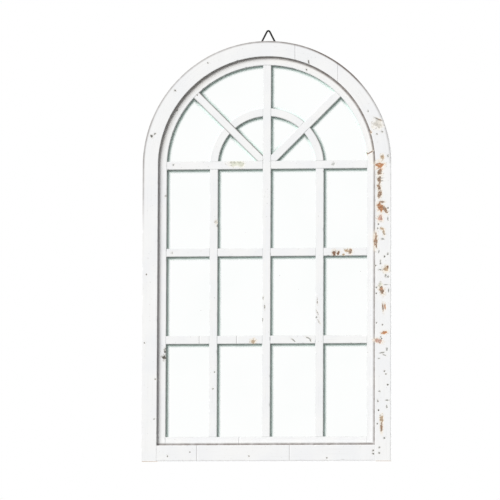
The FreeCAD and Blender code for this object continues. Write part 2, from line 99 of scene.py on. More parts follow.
# A corner's radius as a share of a button's width, and the distance in metres at which points are one
NEARLY_HALF = 0.4995
WELD = 1e-6
# Faces across a softened edge, and the turn from which an edge is drawn sharp
BEVEL_SEGMENTS = 2
SHARP = 38.0
# Waves of the wood's unevenness, and how far their lengths vary
RIPPLE_WAVES = 7
RIPPLE_SPREAD = (0.6, 1.5)


class Tone(Enum):
    """What shows where the paint is gone, as a linear colour."""

    PINE = (0.60, 0.27, 0.12)
    BROWN = (0.28, 0.15, 0.09)
    UMBER = (0.40, 0.26, 0.175)
    NICK = (0.088, 0.082, 0.07)
    SPECK = (0.17, 0.168, 0.148)
    BLUSH = (0.72, 0.46, 0.37)
    PRIMER = (0.39, 0.40, 0.375)
    TAN = (0.62, 0.46, 0.31)
    OLIVE = (0.86, 0.87, 0.74)
    BUFF = (0.91, 0.87, 0.79)
    MIST = (0.66, 0.67, 0.65)


class Side(Enum):
    """Side of the mirror as seen from the front, as the sign of x."""

    LEFT = -1
    RIGHT = 1

    @property
    def word(self) -> str:
        """The side as it stands in the names of pieces."""
        return self.name.lower()


class Halving(Enum):
    """Half of a bar's depth that is cut away where another bar crosses it."""

    FRONT = "front"
    BACK = "back"


def ripple(x: Array, z: Array, wave: float, seed: int) -> Array:
    """Smooth seeded unevenness over the front, about from -1 to 1.

    Args:
        x: Places across.
        z: Heights.
        wave: Mean length of its waves.
        seed: Seed of its directions and phases.

    Returns:
        The unevenness at each place.
    """
    draw = np.random.default_rng(seed)
    total = np.zeros(np.broadcast(x, z).shape)
    for _ in range(RIPPLE_WAVES):
        turn = draw.uniform(0.0, 2 * math.pi)
        pitch = 2 * math.pi / (wave * draw.uniform(*RIPPLE_SPREAD))
        phase = draw.uniform(0.0, 2 * math.pi)
        total += np.sin(pitch * (x * math.cos(turn) + z * math.sin(turn)) + phase)
    return total / math.sqrt(RIPPLE_WAVES)


@dataclass(frozen=True)
class Mark:
    """A place where the paint is gone: its middle, size and turn on the front, and its ragged outline."""

    tone: Tone
    x: float
    z: float
    wide: float
    tall: float
    turn: float = 0.0
    ragged: float = 0.26
    wave: float = 0.8
    least_wave: float = 4.0

    @property
    def seed(self) -> int:
        """Seed of its outline, from its middle."""
        return int(abs(self.x) * 31 + abs(self.z) * 17)

    def inside(self, x: Array, z: Array) -> Array:
        """How far places lie inside the mark.

        Args:
            x: Places across.
            z: Heights.

        Returns:
            One in its middle, falling through zero at its ragged outline.
        """
        turn = math.radians(self.turn)
        right, up = x - self.x, z - self.z
        along = (right * math.cos(turn) + up * math.sin(turn)) / (self.wide / 2)
        beside = (up * math.cos(turn) - right * math.sin(turn)) / (self.tall / 2)
        wave = max(self.wave * min(self.wide, self.tall), self.least_wave)
        return 1.0 - np.hypot(along, beside) + self.ragged * ripple(x, z, wave, self.seed)


# Worn places by what shows in them: middle across and up, width, height and turn
MARKS: dict[Tone, tuple[tuple[float, ...], ...]] = {
    Tone.PINE: (
        (278, 721, 19.7, 17.2), (279, 618, 13.5, 22.1, 10), (291, 375, 3.9, 14.7, 5),
        (290, 311, 14.7, 7.4, 10), (282, 418, 7, 10, 20),
    ),
    Tone.PRIMER: (
        (278, 689, 17.2, 2.5, 5), (280, 683, 14.7, 2.5, -5), (297, 146, 9.8, 3.2), (290, 54, 4.9, 4.9),
        (278, 31, 4.9, 4.4), (278, 18, 4.9, 4.4), (-249, 273, 5, 10, -15), (66, 295, 14, 3.2, -35),
        (102, 300, 13, 3, -15), (108, 294, 10, 2.8, -65), (-275, 803, 6.9, 4.4, 30),
        (-271, 200, 3.9, 3.9), (-273, 102, 3.9, 3.9), (-239, 11, 4.4, 3.9), (-126, 217, 3.9, 3.9),
        (-130, 176, 3.9, 3.9), (125, 388, 16, 2.2, -85), (126, 360, 19, 2.2, -70),
        (130, 338, 15, 2.2, -60), (123, 350, 4.5, 4.5), (274, 834, 26, 3.2, -25), (298, 589, 2.8, 10),
        (290, 552, 5, 3.4), (285, 540, 7.5, 5), (276, 509, 3, 9), (298, 503, 5, 5), (290, 496, 4, 4),
        (280, 486, 3, 7), (279, 465, 8, 3), (293, 450, 5, 8), (299, 447, 4, 5), (294, 428, 12, 2.4),
        (270, 421, 4.5, 4.5), (300, 414, 3, 9), (249, 854, 3, 5), (284, 803, 6, 4), (271, 798, 5, 3.6),
        (298, 743, 4, 6), (281, 300, 3.6, 5), (284, 262, 14, 3, 10), (296, 270, 4, 8),
        (276, 248, 5, 3.2), (290, 256, 10, 2.6, -15), (278, 168, 5, 3.4), (296, 130, 3.6, 8),
        (-121, 576, 4, 7), (-8, 398, 3, 9), (-4, 376, 3.4, 12, 5), (-9, 344, 3, 10),
    ),
    Tone.BLUSH: (
        (279, 591, 12.3, 14.7), (275, 291, 19.7, 9.8, -15),
    ),
    Tone.SPECK: (
        (275, 576, 3.9, 3.9), (273, 566, 3.4, 3.9), (268, 475, 3.9, 3.9), (290, 498, 3.7, 3.7),
        (280, 480, 3.7, 4.4), (270, 407, 3.7, 3.7), (270, 335, 3.7, 3.7), (285, 330, 3.9, 3.7),
        (283, 296, 3.7, 3.7), (290, 217, 3.9, 4.4), (294, 210, 3.7, 3.7), (298, 184, 4.7, 3.9),
        (274, 144, 3.2, 6.4), (276, 122, 3.7, 4.4), (273, 89, 3.9, 3.9), (263, 24, 4.9, 3.9),
        (263, 16, 4.9, 3.9), (150, 6, 3.7, 3.7), (-283, 797, 6.4, 6.9), (-226, 910, 4.7, 4.7),
        (-145, 977, 3.7, 3.7), (-294, 457, 3.4, 3.4), (-298, 289, 3.4, 3.4), (-185, 21, 3.4, 3.4),
        (-40, 11, 3.4, 3.4), (298, 616, 4, 4), (97, 959, 3.6, 6), (-222, 862, 4, 4),
        (-172, 899, 3.5, 3.5),
    ),
    Tone.OLIVE: (
        (280, 429, 7.4, 9.8), (-79, 730, 26, 15), (-64, 728, 16, 16),
    ),
    Tone.BROWN: (
        (286, 372, 3.9, 19.7, 5), (253, 753, 17.2, 2.7, 30), (297, 471, 6, 8), (166, 507, 9, 14),
        (176, 507, 6, 12, -20), (245, 751, 4, 8, 10),
    ),
    Tone.TAN: (
        (283, 100, 7.9, 19.7), (-32, 292, 12, 11, 15), (-123, 584, 4.4, 4.4), (284, 741, 8.6, 12.3, 10),
        (284, 565, 11, 6, -20), (288, 556, 5, 14, 10), (293, 466, 13, 13), (197, 513, 12, 7),
        (189, 503, 6, 5),
    ),
    Tone.UMBER: (
        (283, 80, 6.5, 24.6), (278, 704, 11, 16), (277, 686, 9, 16), (276, 668, 8, 18, 4),
        (278, 650, 9, 19, -10), (283, 631, 14, 5), (291, 612, 8, 20, 32), (268, 537, 9, 34),
        (283, 415, 11, 21, 22), (205, 511, 10, 12, 15), (256, 803, 4, 7, 15), (277, 833, 17, 2.8, -28),
    ),
    Tone.NICK: (
        (-250, 253, 8.8, 12.3, 20), (-248, 267, 4.4, 4.4), (103, 977, 3.2, 9.8, 8),
    ),
    Tone.MIST: (
        (164, 726, 7.4, 7.4), (-230, 727, 5.4, 5.4), (-232, 510, 4.9, 3.9), (-248, 650, 4.9, 7.4, -40),
    ),
    Tone.BUFF: (
        (-124, 585, 7, 9), (273, 822, 22, 20, 15),
    ),
}


# Node trees
class Tree:
    """A node tree while it is drawn."""

    def __init__(self, tree: Nodes) -> None:
        """Start on an empty tree."""
        self.tree = tree
        tree.nodes.clear()

    def plug(self, socket: Socket, value: Value) -> None:
        """Link an output to an input, or set a number or colour there.

        Args:
            socket: The input.
            value: The output, number or colour.
        """
        if isinstance(value, Socket):
            self.tree.links.new(value, socket)
        else:
            socket.default_value = value

    def add(self, kind: str, sockets: Sockets | None = None, **settings: object) -> bpy.types.Node:
        """Add a node.

        Args:
            kind: Blender's name of the node.
            sockets: A value for, or a link to, each input by name or number.
            settings: The node's own options.

        Returns:
            The node.
        """
        node = self.tree.nodes.new(kind)
        for name, value in settings.items():
            setattr(node, name, value)
        for key, value in (sockets or {}).items():
            self.plug(node.inputs[key], value)
        return node

    def out(self, kind: str, sockets: Sockets | None = None, **settings: object) -> Socket:
        """Add a node in the same way and give its first output."""
        return self.add(kind, sockets, **settings).outputs[0]

    def sum(self, operation: str, *numbers: Value) -> Socket:
        """Join numbers by an operation, which goes by Blender's name for it."""
        return self.out("ShaderNodeMath", dict(enumerate(numbers)), operation=operation)


@dataclass(frozen=True)
class Noise:
    """A noise: waves a metre, octaves, strength of the finer ones, and a stretch or UV map if it has one."""

    scale: float
    detail: float = 3.0
    rough: float = 0.5
    stretch: tuple[float, float, float] | None = None
    uv: str = ""


@dataclass(frozen=True)
class Step:
    """A smooth step: where it starts and ends, and the result before and after it."""

    low: float
    high: float
    before: float = 0.0
    after: float = 1.0


class Finish(Tree):
    """A material with one principled surface while it is drawn."""

    def __init__(self, name: str) -> None:
        """Start a material of that name."""
        self.material = bpy.data.materials.new(name)
        self.material.use_nodes = True
        super().__init__(self.material.node_tree)
        self.surface = self.add("ShaderNodeBsdfPrincipled")
        self.add("ShaderNodeOutputMaterial", {"Surface": self.surface.outputs[0]})
        self.place = self.add("ShaderNodeTexCoord").outputs["Object"]
        self.drawn: dict[Noise, Socket] = {}

    def dress(self, **sockets: Value) -> Material:
        """Set the surface's sockets.

        Args:
            sockets: A value for each, by its name with _ for each space.

        Returns:
            The material.
        """
        for name, value in sockets.items():
            self.plug(self.surface.inputs[name.replace("_", " ").title().replace("Ior", "IOR")], value)
        return self.material

    def noise(self, noise: Noise) -> Socket:
        """Draw a noise, once for each material.

        Args:
            noise: Its measures.

        Returns:
            The noise, from 0 to 1.
        """
        if noise not in self.drawn:
            place = self.out("ShaderNodeUVMap", uv_map=noise.uv) if noise.uv else self.place
            if noise.stretch:
                place = self.out("ShaderNodeMapping", {"Vector": place, "Scale": noise.stretch})
            measures = {"Scale": noise.scale, "Detail": noise.detail, "Roughness": noise.rough}
            self.drawn[noise] = self.out("ShaderNodeTexNoise", {"Vector": place, **measures})
        return self.drawn[noise]

    def step(self, value: Socket, step: Step) -> Socket:
        """A smooth step of a value."""
        sockets = {0: value, 1: step.low, 2: step.high, 3: step.before, 4: step.after}
        return self.out("ShaderNodeMapRange", sockets, interpolation_type="SMOOTHSTEP")

    def read(self, noise: Noise, step: Step) -> Socket:
        """A smooth step of a noise."""
        return self.step(self.noise(noise), step)

    def frayed(self, value: Socket, noise: Noise, share: float) -> Socket:
        """A value with a share of a noise about zero added to it."""
        return self.sum("MULTIPLY_ADD", self.sum("SUBTRACT", self.noise(noise), 0.5), share, value)

    def mix(self, share: Value, first: Value, second: Value) -> Socket:
        """Blend two colours.

        Args:
            share: Share of the second.
            first: First colour, as a socket or three numbers.
            second: Second colour.

        Returns:
            The blend.
        """
        colours = [c if isinstance(c, Socket) else (*c, 1.0) for c in (first, second)]
        sockets = {0: share, 6: colours[0], 7: colours[1]}
        return self.add("ShaderNodeMix", sockets, data_type="RGBA").outputs[2]

    def bump(self, height: Socket, strength: float, distance: float) -> Socket:
        """Normals of a fine relief.

        Args:
            height: Height from 0 to 1.
            strength: Share of the relief that shows.
            distance: Its depth.

        Returns:
            The normals.
        """
        sockets = {"Strength": strength, "Distance": distance * MM, "Height": height}
        return self.out("ShaderNodeBump", sockets)

    def attribute(self, name: str, output: str = "Fac") -> Socket:
        """One of the mesh's own attributes."""
        return self.add("ShaderNodeAttribute", attribute_name=name).outputs[output]

    def parts(self, colour: Socket) -> tuple[Socket, ...]:
        """Red, green and blue of a colour."""
        return tuple(self.add("ShaderNodeSeparateColor", {0: colour}).outputs)


# Finishes
@dataclass(frozen=True)
class WornPaint:
    """White paint on pine, brushed on, cracked and worn through in places, and bare on the back."""

    name: str = "worn_white_paint"
    white: Colour = (0.905, 0.905, 0.90)
    cool_white: Colour = (0.875, 0.88, 0.89)
    rubbed: Colour = (0.56, 0.55, 0.53)
    fleck: Colour = (0.33, 0.29, 0.26)
    pale: Colour = (0.84, 0.78, 0.71)
    cream: Colour = (0.94, 0.87, 0.75)
    thin: Colour = (0.93, 0.925, 0.905)
    # Dark brown of the painted shade in corners and along edges, also the colour of the cracks
    dirt: Colour = (0.165, 0.138, 0.125)
    # Dark green painted shade on the sides of the bars and the sash
    washed: Colour = (0.07, 0.17, 0.135)
    bare: Colour = (0.56, 0.40, 0.25)
    bare_dark: Colour = (0.36, 0.23, 0.13)
    black: Colour = (0.0, 0.0, 0.0)

    fibres: Noise = Noise(1.0, 4.0, stretch=(14.0, 900.0, 1.0), uv="grain")
    brush: Noise = Noise(1.0, 3.0, stretch=(9.0, 330.0, 1.0), uv="grain")
    blotches: Noise = Noise(16.0, 4.0)
    crumble: Noise = Noise(700.0, 3.0)
    grit: Noise = Noise(240.0, 1.0)
    scuffs: Noise = Noise(60.0, 4.0)
    # Noise that makes the painted shade patchy
    dust: Noise = Noise(90.0, 3.0)
    stains: Noise = Noise(170.0, 4.0)
    crumbs: Noise = Noise(520.0, 3.0)
    chaff: Noise = Noise(380.0, 1.0)

    cooler: Step = Step(0.35, 0.68)
    streaks: Step = Step(0.55, 0.8, 0.0, 0.16)
    specks: Step = Step(0.735, 0.77, 0.0, 0.5)
    rubbing: Step = Step(1.12, 1.5, 0.0, 0.75)
    settling: Step = Step(0.2, 0.7, 0.75, 1.0)
    cracking: Step = Step(0.35, 0.9, 0.0, 0.85)
    outline: Step = Step(-0.02, 0.16)
    rim: Step = Step(-1.0, 0.05, 0.0, 0.8)
    flecks: Step = Step(0.6, 0.66)
    fleck_reach: Step = Step(-1.0, -0.35, 0.0, 0.6)
    grain: Step = Step(0.35, 0.7, 0.0, 0.4)
    staining: Step = Step(0.42, 0.62, 0.0, 0.6)
    crumbling: Step = Step(0.54, 0.7, 0.0, 0.75)
    warmth: Step = Step(0.05, 0.22)
    paling: Step = Step(0.0, 1.0, 0.8, 0.9)
    back_grain: Step = Step(0.3, 0.72)
    spray: Step = Step(0.42, 0.62)
    dulling: Step = Step(0.0, 1.0, 0.5, 0.82)

    fray: float = 0.9
    scuffing: float = 0.9
    shading: float = 0.55
    patchy: float = 0.12
    fibre_height: float = 0.35
    brush_height: float = 0.4
    chip_depth: float = 0.9
    relief: Pair = (0.35, 0.25)
    gloss: float = 0.35

    def coat(self, paint: Finish, edge: Socket, dirt: Socket, crack: Socket) -> Socket:
        """The coat with its streaks and specks and rubbed arrises, painted shade on its sides, in its
        corners and along its edges, and dark cracks.

        Args:
            paint: The material.
            edge: Where the arrises are.
            dirt: Where shade is painted, in corners and along edges.
            crack: Where the cracks are.

        Returns:
            Its colour.
        """
        colour = paint.mix(paint.read(self.blotches, self.cooler), self.white, self.cool_white)
        # Cream tint beside the frame's lip, partly standing in for the warm tone of the lip's shadow
        colour = paint.mix(paint.attribute("warm"), colour, self.cream)
        colour = paint.mix(paint.read(self.brush, self.streaks), colour, self.rubbed)
        colour = paint.mix(paint.read(self.grit, self.specks), colour, self.rubbed)
        scuffed = paint.sum("MULTIPLY_ADD", paint.noise(self.scuffs), self.scuffing, edge)
        colour = paint.mix(paint.step(scuffed, self.rubbing), colour, self.rubbed)
        # Dark green painted shade on the sides of the bars and the sash
        colour = paint.mix(paint.attribute("wash"), colour, self.washed)
        # Dark brown painted shade in corners and along edges, made patchy by a noise; the cracks take the
        # same colour
        settled = paint.sum("MULTIPLY", dirt, paint.read(self.dust, self.settling))
        colour = paint.mix(settled, colour, self.dirt)
        return paint.mix(paint.step(crack, self.cracking), colour, self.dirt)

    def worn(self, paint: Finish, coat: Socket) -> tuple[Socket, Socket]:
        """Bare places, ringed by thin paint and by small flecks, with crumbs of paint left on them.

        Args:
            paint: The material.
            coat: Colour of the coat.

        Returns:
            The colour with them, and where the paint is gone.
        """
        chip, tint = paint.attribute("chip"), paint.attribute("tint", "Color")
        ragged = paint.frayed(chip, self.crumble, self.fray)
        gone = paint.step(ragged, self.outline)
        shade = paint.mix(self.shading, tint, self.black)
        wood = paint.mix(paint.read(self.fibres, self.grain), tint, shade)
        wood = paint.mix(paint.read(self.stains, self.staining), wood, shade)
        wood = paint.mix(paint.read(self.crumbs, self.crumbling), wood, self.pale)
        red, _, blue = paint.parts(tint)
        warmth = paint.step(paint.sum("SUBTRACT", red, blue), self.warmth)
        halo = paint.mix(paint.step(warmth, self.paling), tint, paint.mix(warmth, self.thin, self.cream))
        flecks = paint.read(self.chaff, self.flecks)
        flecks = paint.sum("MULTIPLY", flecks, paint.step(chip, self.fleck_reach))
        around = paint.mix(flecks, paint.mix(paint.step(ragged, self.rim), coat, halo), self.fleck)
        return paint.mix(gone, around, wood), gone

    def material(self) -> Material:
        """Draw the paint from the wood's own wear and painted shade attributes and grain map.

        Returns:
            The material.
        """
        paint = Finish(self.name)
        # The colour attribute packs rubbed arrises, painted shade, bare back, and cracks in its alpha
        edge, dirt, back = paint.parts(paint.attribute("wear", "Color"))
        painted, gone = self.worn(paint, self.coat(paint, edge, dirt, paint.attribute("wear", "Alpha")))
        plain = paint.mix(paint.read(self.fibres, self.back_grain), self.bare, self.bare_dark)
        bare = paint.step(paint.frayed(back, self.blotches, self.fray), self.spray)
        height = paint.sum("MULTIPLY", paint.noise(self.fibres), self.fibre_height)
        height = paint.sum("MULTIPLY_ADD", paint.noise(self.brush), self.brush_height, height)
        height = paint.sum("MULTIPLY_ADD", gone, -self.chip_depth, height)
        dull = paint.step(paint.sum("MAXIMUM", gone, bare), self.dulling)
        dull = paint.sum("MULTIPLY_ADD", paint.noise(self.blotches), self.patchy, dull)
        return paint.dress(
            base_color=paint.mix(bare, painted, plain),
            roughness=dull,
            normal=paint.bump(height, *self.relief),
            specular_ior_level=self.gloss,
        )


@dataclass(frozen=True)
class Silvering:
    """Mirror glass: bright silver with a faint green cast, a few specks, and a matte green-white film on the
    glass beside the bars, on the sides where their shadow falls, so that the shadow shows on it as a dark
    green line.
    """

    layout: "Layout"
    name: str = "silvered_glass"
    silver: Colour = (0.985, 0.995, 0.99)
    cast: Colour = (0.965, 0.982, 0.974)
    tarnish: Colour = (0.55, 0.54, 0.50)
    # Matte green-white film that lies in the bars' shadow and tints that shadow green
    film: Colour = (0.785, 0.975, 0.90)
    haze: Noise = Noise(5.0, 4.0)
    hazing: Step = Step(0.4, 0.75)
    wipes: Noise = Noise(1.0, 3.0, stretch=(14.0, 14.0, 55.0))
    wiping: Step = Step(0.45, 0.8, 0.0, 0.035)
    spots: Noise = Noise(120.0, 1.0)
    spotting: Step = Step(0.79, 0.82, 0.0, 0.5)
    dust: Noise = Noise(45.0, 3.0)
    film_edge: Step = Step(0.0, 9.5 * MM, 0.97, 0.0)
    film_ragged: float = 1.5 * MM
    film_rough: float = 0.5
    slack: float = 0.1 * MM
    far: float = 9.0
    steep: float = 100.0

    def beyond(self, glass: Finish, distance: Socket) -> Socket:
        """A distance, or a very long one where it is negative."""
        behind = glass.sum("LESS_THAN", distance, -self.slack)
        return glass.sum("ADD", distance, glass.sum("MULTIPLY", behind, self.far))

    def to_bars(self, glass: Finish) -> Socket:
        """Distance from the nearest bar to the left or above, or from the arch, the fan light or a spoke.

        Args:
            glass: The material.

        Returns:
            The distance, in metres.
        """
        lay, join = self.layout, glass.sum
        half, pitch, pane = lay.bar_half * MM, lay.pitch * MM, lay.pane * MM
        x, _, z = glass.add("ShaderNodeSeparateXYZ", {0: glass.place}).outputs
        up = join("SUBTRACT", z, lay.spring * MM)
        risen = join("MAXIMUM", up, 0.0)
        over = join("MULTIPLY", risen, self.steep)
        under = join("MULTIPLY", join("MAXIMUM", join("MULTIPLY", up, -1.0), 0.0), self.steep)
        radius = join("SQRT", join("ADD", join("MULTIPLY", x, x), join("MULTIPLY", risen, risen)))
        near = [self.beyond(glass, join("SUBTRACT", x, half))]
        for edge in (-pane, half - pitch, half + pitch):
            near.append(join("ADD", self.beyond(glass, join("SUBTRACT", x, edge)), over))
        for row in lay.rows:
            near.append(self.beyond(glass, join("SUBTRACT", row * MM - half, z)))
        lean = join("ABSOLUTE", join("SUBTRACT", join("ABSOLUTE", x), up))
        spoke = join("SUBTRACT", join("MULTIPLY", lean, math.sqrt(0.5)), half)
        fan = join("SUBTRACT", join("ABSOLUTE", join("SUBTRACT", radius, pitch)), half)
        for distance in (join("SUBTRACT", pane, radius), fan, spoke):
            near.append(join("ADD", distance, under))
        nearest = near[0]
        for other in near[1:]:
            nearest = join("MINIMUM", nearest, other)
        return nearest

    def material(self) -> Material:
        """Draw the silvering.

        Returns:
            The material.
        """
        glass = Finish(self.name)
        colour = glass.mix(glass.read(self.haze, self.hazing), self.silver, self.cast)
        colour = glass.mix(glass.read(self.spots, self.spotting), colour, self.tarnish)
        ragged = glass.sum("MULTIPLY", glass.noise(self.dust), self.film_ragged)
        # The film is laid only where the bars' shadow falls, so the lamps' shadow shows on it as a dark line
        film = glass.step(glass.sum("ADD", self.to_bars(glass), ragged), self.film_edge)
        rough = glass.sum("MULTIPLY_ADD", film, self.film_rough, glass.read(self.wipes, self.wiping))
        return glass.dress(
            base_color=glass.mix(film, colour, self.film),
            metallic=glass.sum("SUBTRACT", 1.0, film),
            roughness=rough,
        )


@dataclass(frozen=True)
class Layer:
    """A colour that lies over the ones before it where a step of a noise is high."""

    colour: Colour
    noise: Noise
    step: Step


Layers = tuple[Layer, ...]
Dull = tuple[Noise, Step] | float
Relief = tuple[Noise, float, float] | None


@dataclass(frozen=True)
class Stock:
    """A plain finish: a ground with layers of colour over it, a dullness and a fine relief."""

    name: str
    ground: Colour
    layers: Layers
    dull: Dull
    relief: Relief = None
    metallic: float = 0.0
    gloss: float = 0.5

    def material(self) -> Material:
        """Draw the finish.

        Returns:
            The material.
        """
        finish = Finish(self.name)
        colour: Value = self.ground
        for layer in self.layers:
            colour = finish.mix(finish.read(layer.noise, layer.step), colour, layer.colour)
        if self.relief:
            noise, strength, distance = self.relief
            finish.dress(normal=finish.bump(finish.noise(noise), strength, distance))
        dull = self.dull if isinstance(self.dull, float) else finish.read(*self.dull)
        return finish.dress(
            base_color=colour, roughness=dull, metallic=self.metallic, specular_ior_level=self.gloss
        )


@dataclass(frozen=True)
class DowelWood(Stock):
    """Bare dowel wood with its grain."""

    fibres = Noise(1.0, 4.0, stretch=(900.0, 900.0, 60.0))
    name: str = "dowel_beech"
    ground: Colour = (0.60, 0.42, 0.26)
    layers: Layers = (Layer((0.42, 0.27, 0.15), fibres, Step(0.3, 0.7)),)
    dull: Dull = 0.7
    relief: Relief = (fibres, 0.3, 0.2)


@dataclass(frozen=True)
class Hardboard(Stock):
    """Pressed brown fibre board."""

    cloud = Noise(26.0, 8.0, 0.7)
    fibres = Noise(420.0, 4.0, 0.65)
    chaff = Noise(1.0, 2.0, stretch=(520.0, 520.0, 160.0))
    name: str = "hardboard"
    ground: Colour = (0.30, 0.19, 0.11)
    layers: Layers = (
        Layer((0.43, 0.29, 0.18), cloud, Step(0.2, 0.8, 0.25, 0.75)),
        Layer((0.16, 0.10, 0.06), fibres, Step(0.5, 0.8, 0.0, 0.6)),
        Layer((0.43, 0.29, 0.18), chaff, Step(0.62, 0.75, 0.0, 0.5)),
    )
    dull: Dull = (fibres, Step(0.2, 0.8, 0.45, 0.75))
    relief: Relief = (fibres, 0.4, 0.2)


@dataclass(frozen=True)
class ZincPlate(Stock):
    """Zinc-plated steel with scuffs."""

    cloud = Noise(180.0, 4.0)
    scuffs = Noise(1.0, 3.0, stretch=(300.0, 2400.0, 2400.0))
    name: str = "zinc_plate"
    ground: Colour = (0.44, 0.445, 0.45)
    layers: Layers = (
        Layer((0.25, 0.25, 0.26), cloud, Step(0.35, 0.7)),
        Layer((0.44, 0.445, 0.45), scuffs, Step(0.6, 0.8, 0.0, 0.4)),
    )
    dull: Dull = (cloud, Step(0.3, 0.75, 0.3, 0.5))
    relief: Relief = (scuffs, 0.2, 0.05)
    metallic: float = 1.0


@dataclass(frozen=True)
class BlackenedSteel(ZincPlate):
    """Blackened steel, scuffed as the plated steel is."""

    name: str = "blackened_steel"
    ground: Colour = (0.03, 0.029, 0.028)
    layers: Layers = (
        Layer((0.014, 0.0135, 0.013), ZincPlate.cloud, Step(0.35, 0.7)),
        Layer((0.03, 0.029, 0.028), ZincPlate.scuffs, Step(0.6, 0.8, 0.0, 0.4)),
    )
    dull: Dull = (ZincPlate.cloud, Step(0.3, 0.75, 0.5, 0.75))
    metallic: float = 0.0
    gloss: float = 0.06


@dataclass(frozen=True)
class Rubber(Stock):
    """Matte dark rubber with a bloom of dust."""

    bloom = Noise(260.0, 4.0)
    pores = Noise(1800.0, 2.0)
    name: str = "bumper_rubber"
    ground: Colour = (0.035, 0.035, 0.036)
    layers: Layers = (Layer((0.10, 0.098, 0.095), bloom, Step(0.45, 0.75)),)
    dull: Dull = (bloom, Step(0.2, 0.8, 0.65, 0.9))
    relief: Relief = (pores, 0.25, 0.1)


@dataclass(frozen=True)
class PaleFloor(Stock):
    """Floor of the white room."""

    name: str = "pale_floor"
    ground: Colour = (0.90, 0.90, 0.90)
    layers: Layers = (Layer((0.88, 0.88, 0.88), Noise(1.5, 3.0), Step(0.3, 0.7)),)
    dull: Dull = 0.9


@dataclass(frozen=True)
class Finishes:
    """The part's materials."""

    paint: Material
    wood: Material
    silver: Material
    board: Material
    zinc: Material
    black: Material
    rubber: Material

    @classmethod
    def drawn(cls, layout: "Layout") -> "Finishes":
        """Draw them all.

        Args:
            layout: The mirror's lines.

        Returns:
            The materials.
        """
        plain = (Hardboard(), ZincPlate(), BlackenedSteel(), Rubber())
        finishes = (WornPaint(), DowelWood(), Silvering(layout), *plain)
        return cls(*(finish.material() for finish in finishes))


# Wood
def corners(name: str) -> tuple[Vector, Vector]:
    """Low and high corner of a solid's box, in millimetres."""
    low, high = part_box(name)
    return low / MM, high / MM


@dataclass(frozen=True)
class Layout:
    """Where the solids put the main lines of the mirror."""

    outer: float
    sight: float
    rabbet: float
    sash_outer: float
    pane: float
    spring: float
    rabbet_floor: float
    y_front: float
    y_sash: float
    y_glass: float
    y_back: float
    bar_half: float
    pitch: float
    rows: tuple[float, float, float]

    @classmethod
    def read(cls) -> "Layout":
        """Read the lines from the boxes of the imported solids.

        Returns:
            The lines.
        """
        stile, sash = corners("right_stile"), corners("sash_right_stile")
        glass, mullion = corners("mirror_glass"), corners("right_mullion")
        bars = [corners(f"{name}_bar") for name in ("transom", "upper", "lower")]
        return cls(
            outer=stile[1].x,
            sight=stile[0].x,
            rabbet=sash[1].x + SASH_GAP,
            sash_outer=sash[1].x,
            pane=sash[0].x,
            spring=stile[1].z,
            rabbet_floor=sash[0].z,
            y_front=stile[0].y,
            y_sash=sash[0].y,
            y_glass=glass[0].y,
            y_back=stile[1].y,
            bar_half=(mullion[1].x - mullion[0].x) / 2,
            pitch=(mullion[1].x + mullion[0].x) / 2,
            rows=tuple((low.z + high.z) / 2 for low, high in bars),
        )

    @property
    def y_lap(self) -> float:
        """Depth at which crossing bars are halved."""
        return (self.y_sash + self.y_glass) / 2

    @property
    def pane_floor(self) -> float:
        """Top of the sash's bottom rail."""
        return self.outer - self.pane


@dataclass(frozen=True)
class Section:
    """Cross-section of a length of wood: places across it, and the depths of its front and back there."""

    across: Array
    front: Array
    back: Array

    @classmethod
    def rounded(
        cls, span: Pair, depths: Pair, arris: float, step: float, split: float = 0.0
    ) -> "Section":
        """Rectangle with rounded front arrises and eased back ones.

        Args:
            span: Its two edges.
            depths: Its front and back.
            arris: Radius of the front arrises.
            step: Distance of the lines along its front.
            split: A place across it that gets two lines, for a rabbet, or 0.

        Returns:
            The section.
        """
        low, high = span
        turns = np.radians(np.linspace(0.0, 90.0, ARRIS_POINTS))
        lead = low + arris * (1 - np.cos(turns))
        middle = np.linspace(low + arris, high - arris, max(3, round((high - low - 2 * arris) / step) + 1))
        extra = [split, split] if split else []
        across = np.sort(np.concatenate([lead[:-1], middle, (low + high - lead)[:-1], extra]))
        inset = np.clip(np.minimum(across - low, high - across) / arris, 0.0, 1.0)
        front = depths[0] + arris * (1 - np.sqrt(np.clip(1 - (1 - inset) ** 2, 0.0, 1.0)))
        back = depths[1] - BACK_EASE * (1 - inset)
        return cls(across, front, back)

    def rabbeted(self, place: float, depth: float) -> "Section":
        """The section with its back cut away on one side.

        Args:
            place: A place across it that has two lines, on whose low side the cut is.
            depth: Depth of the back there.

        Returns:
            The cut section.
        """
        second = np.searchsorted(self.across, place, "right") - 1
        cut = np.arange(len(self.across)) < second
        return Section(self.across, self.front, np.where(cut, depth, self.back))

    def halved(self, lap: float, half: Halving) -> "Section":
        """The section with one half of its depth cut away.

        Args:
            lap: Depth at which it is halved.
            half: The half that goes.

        Returns:
            The cut section.
        """
        if half is Halving.FRONT:
            return Section(self.across, np.maximum(self.front, lap), self.back)
        return Section(self.across, self.front, np.minimum(self.back, lap))


@dataclass(frozen=True)
class Station:
    """A place along a length of wood, which may differ across it, and a crack's depth there."""

    place: Stop
    crack: float = 0.0

    def along(self, across: Array) -> Array:
        """The place on each line.

        Args:
            across: Places of the lines across.

        Returns:
            The places along.
        """
        if callable(self.place):
            return np.asarray(self.place(across), float)
        return np.full(len(across), float(self.place))


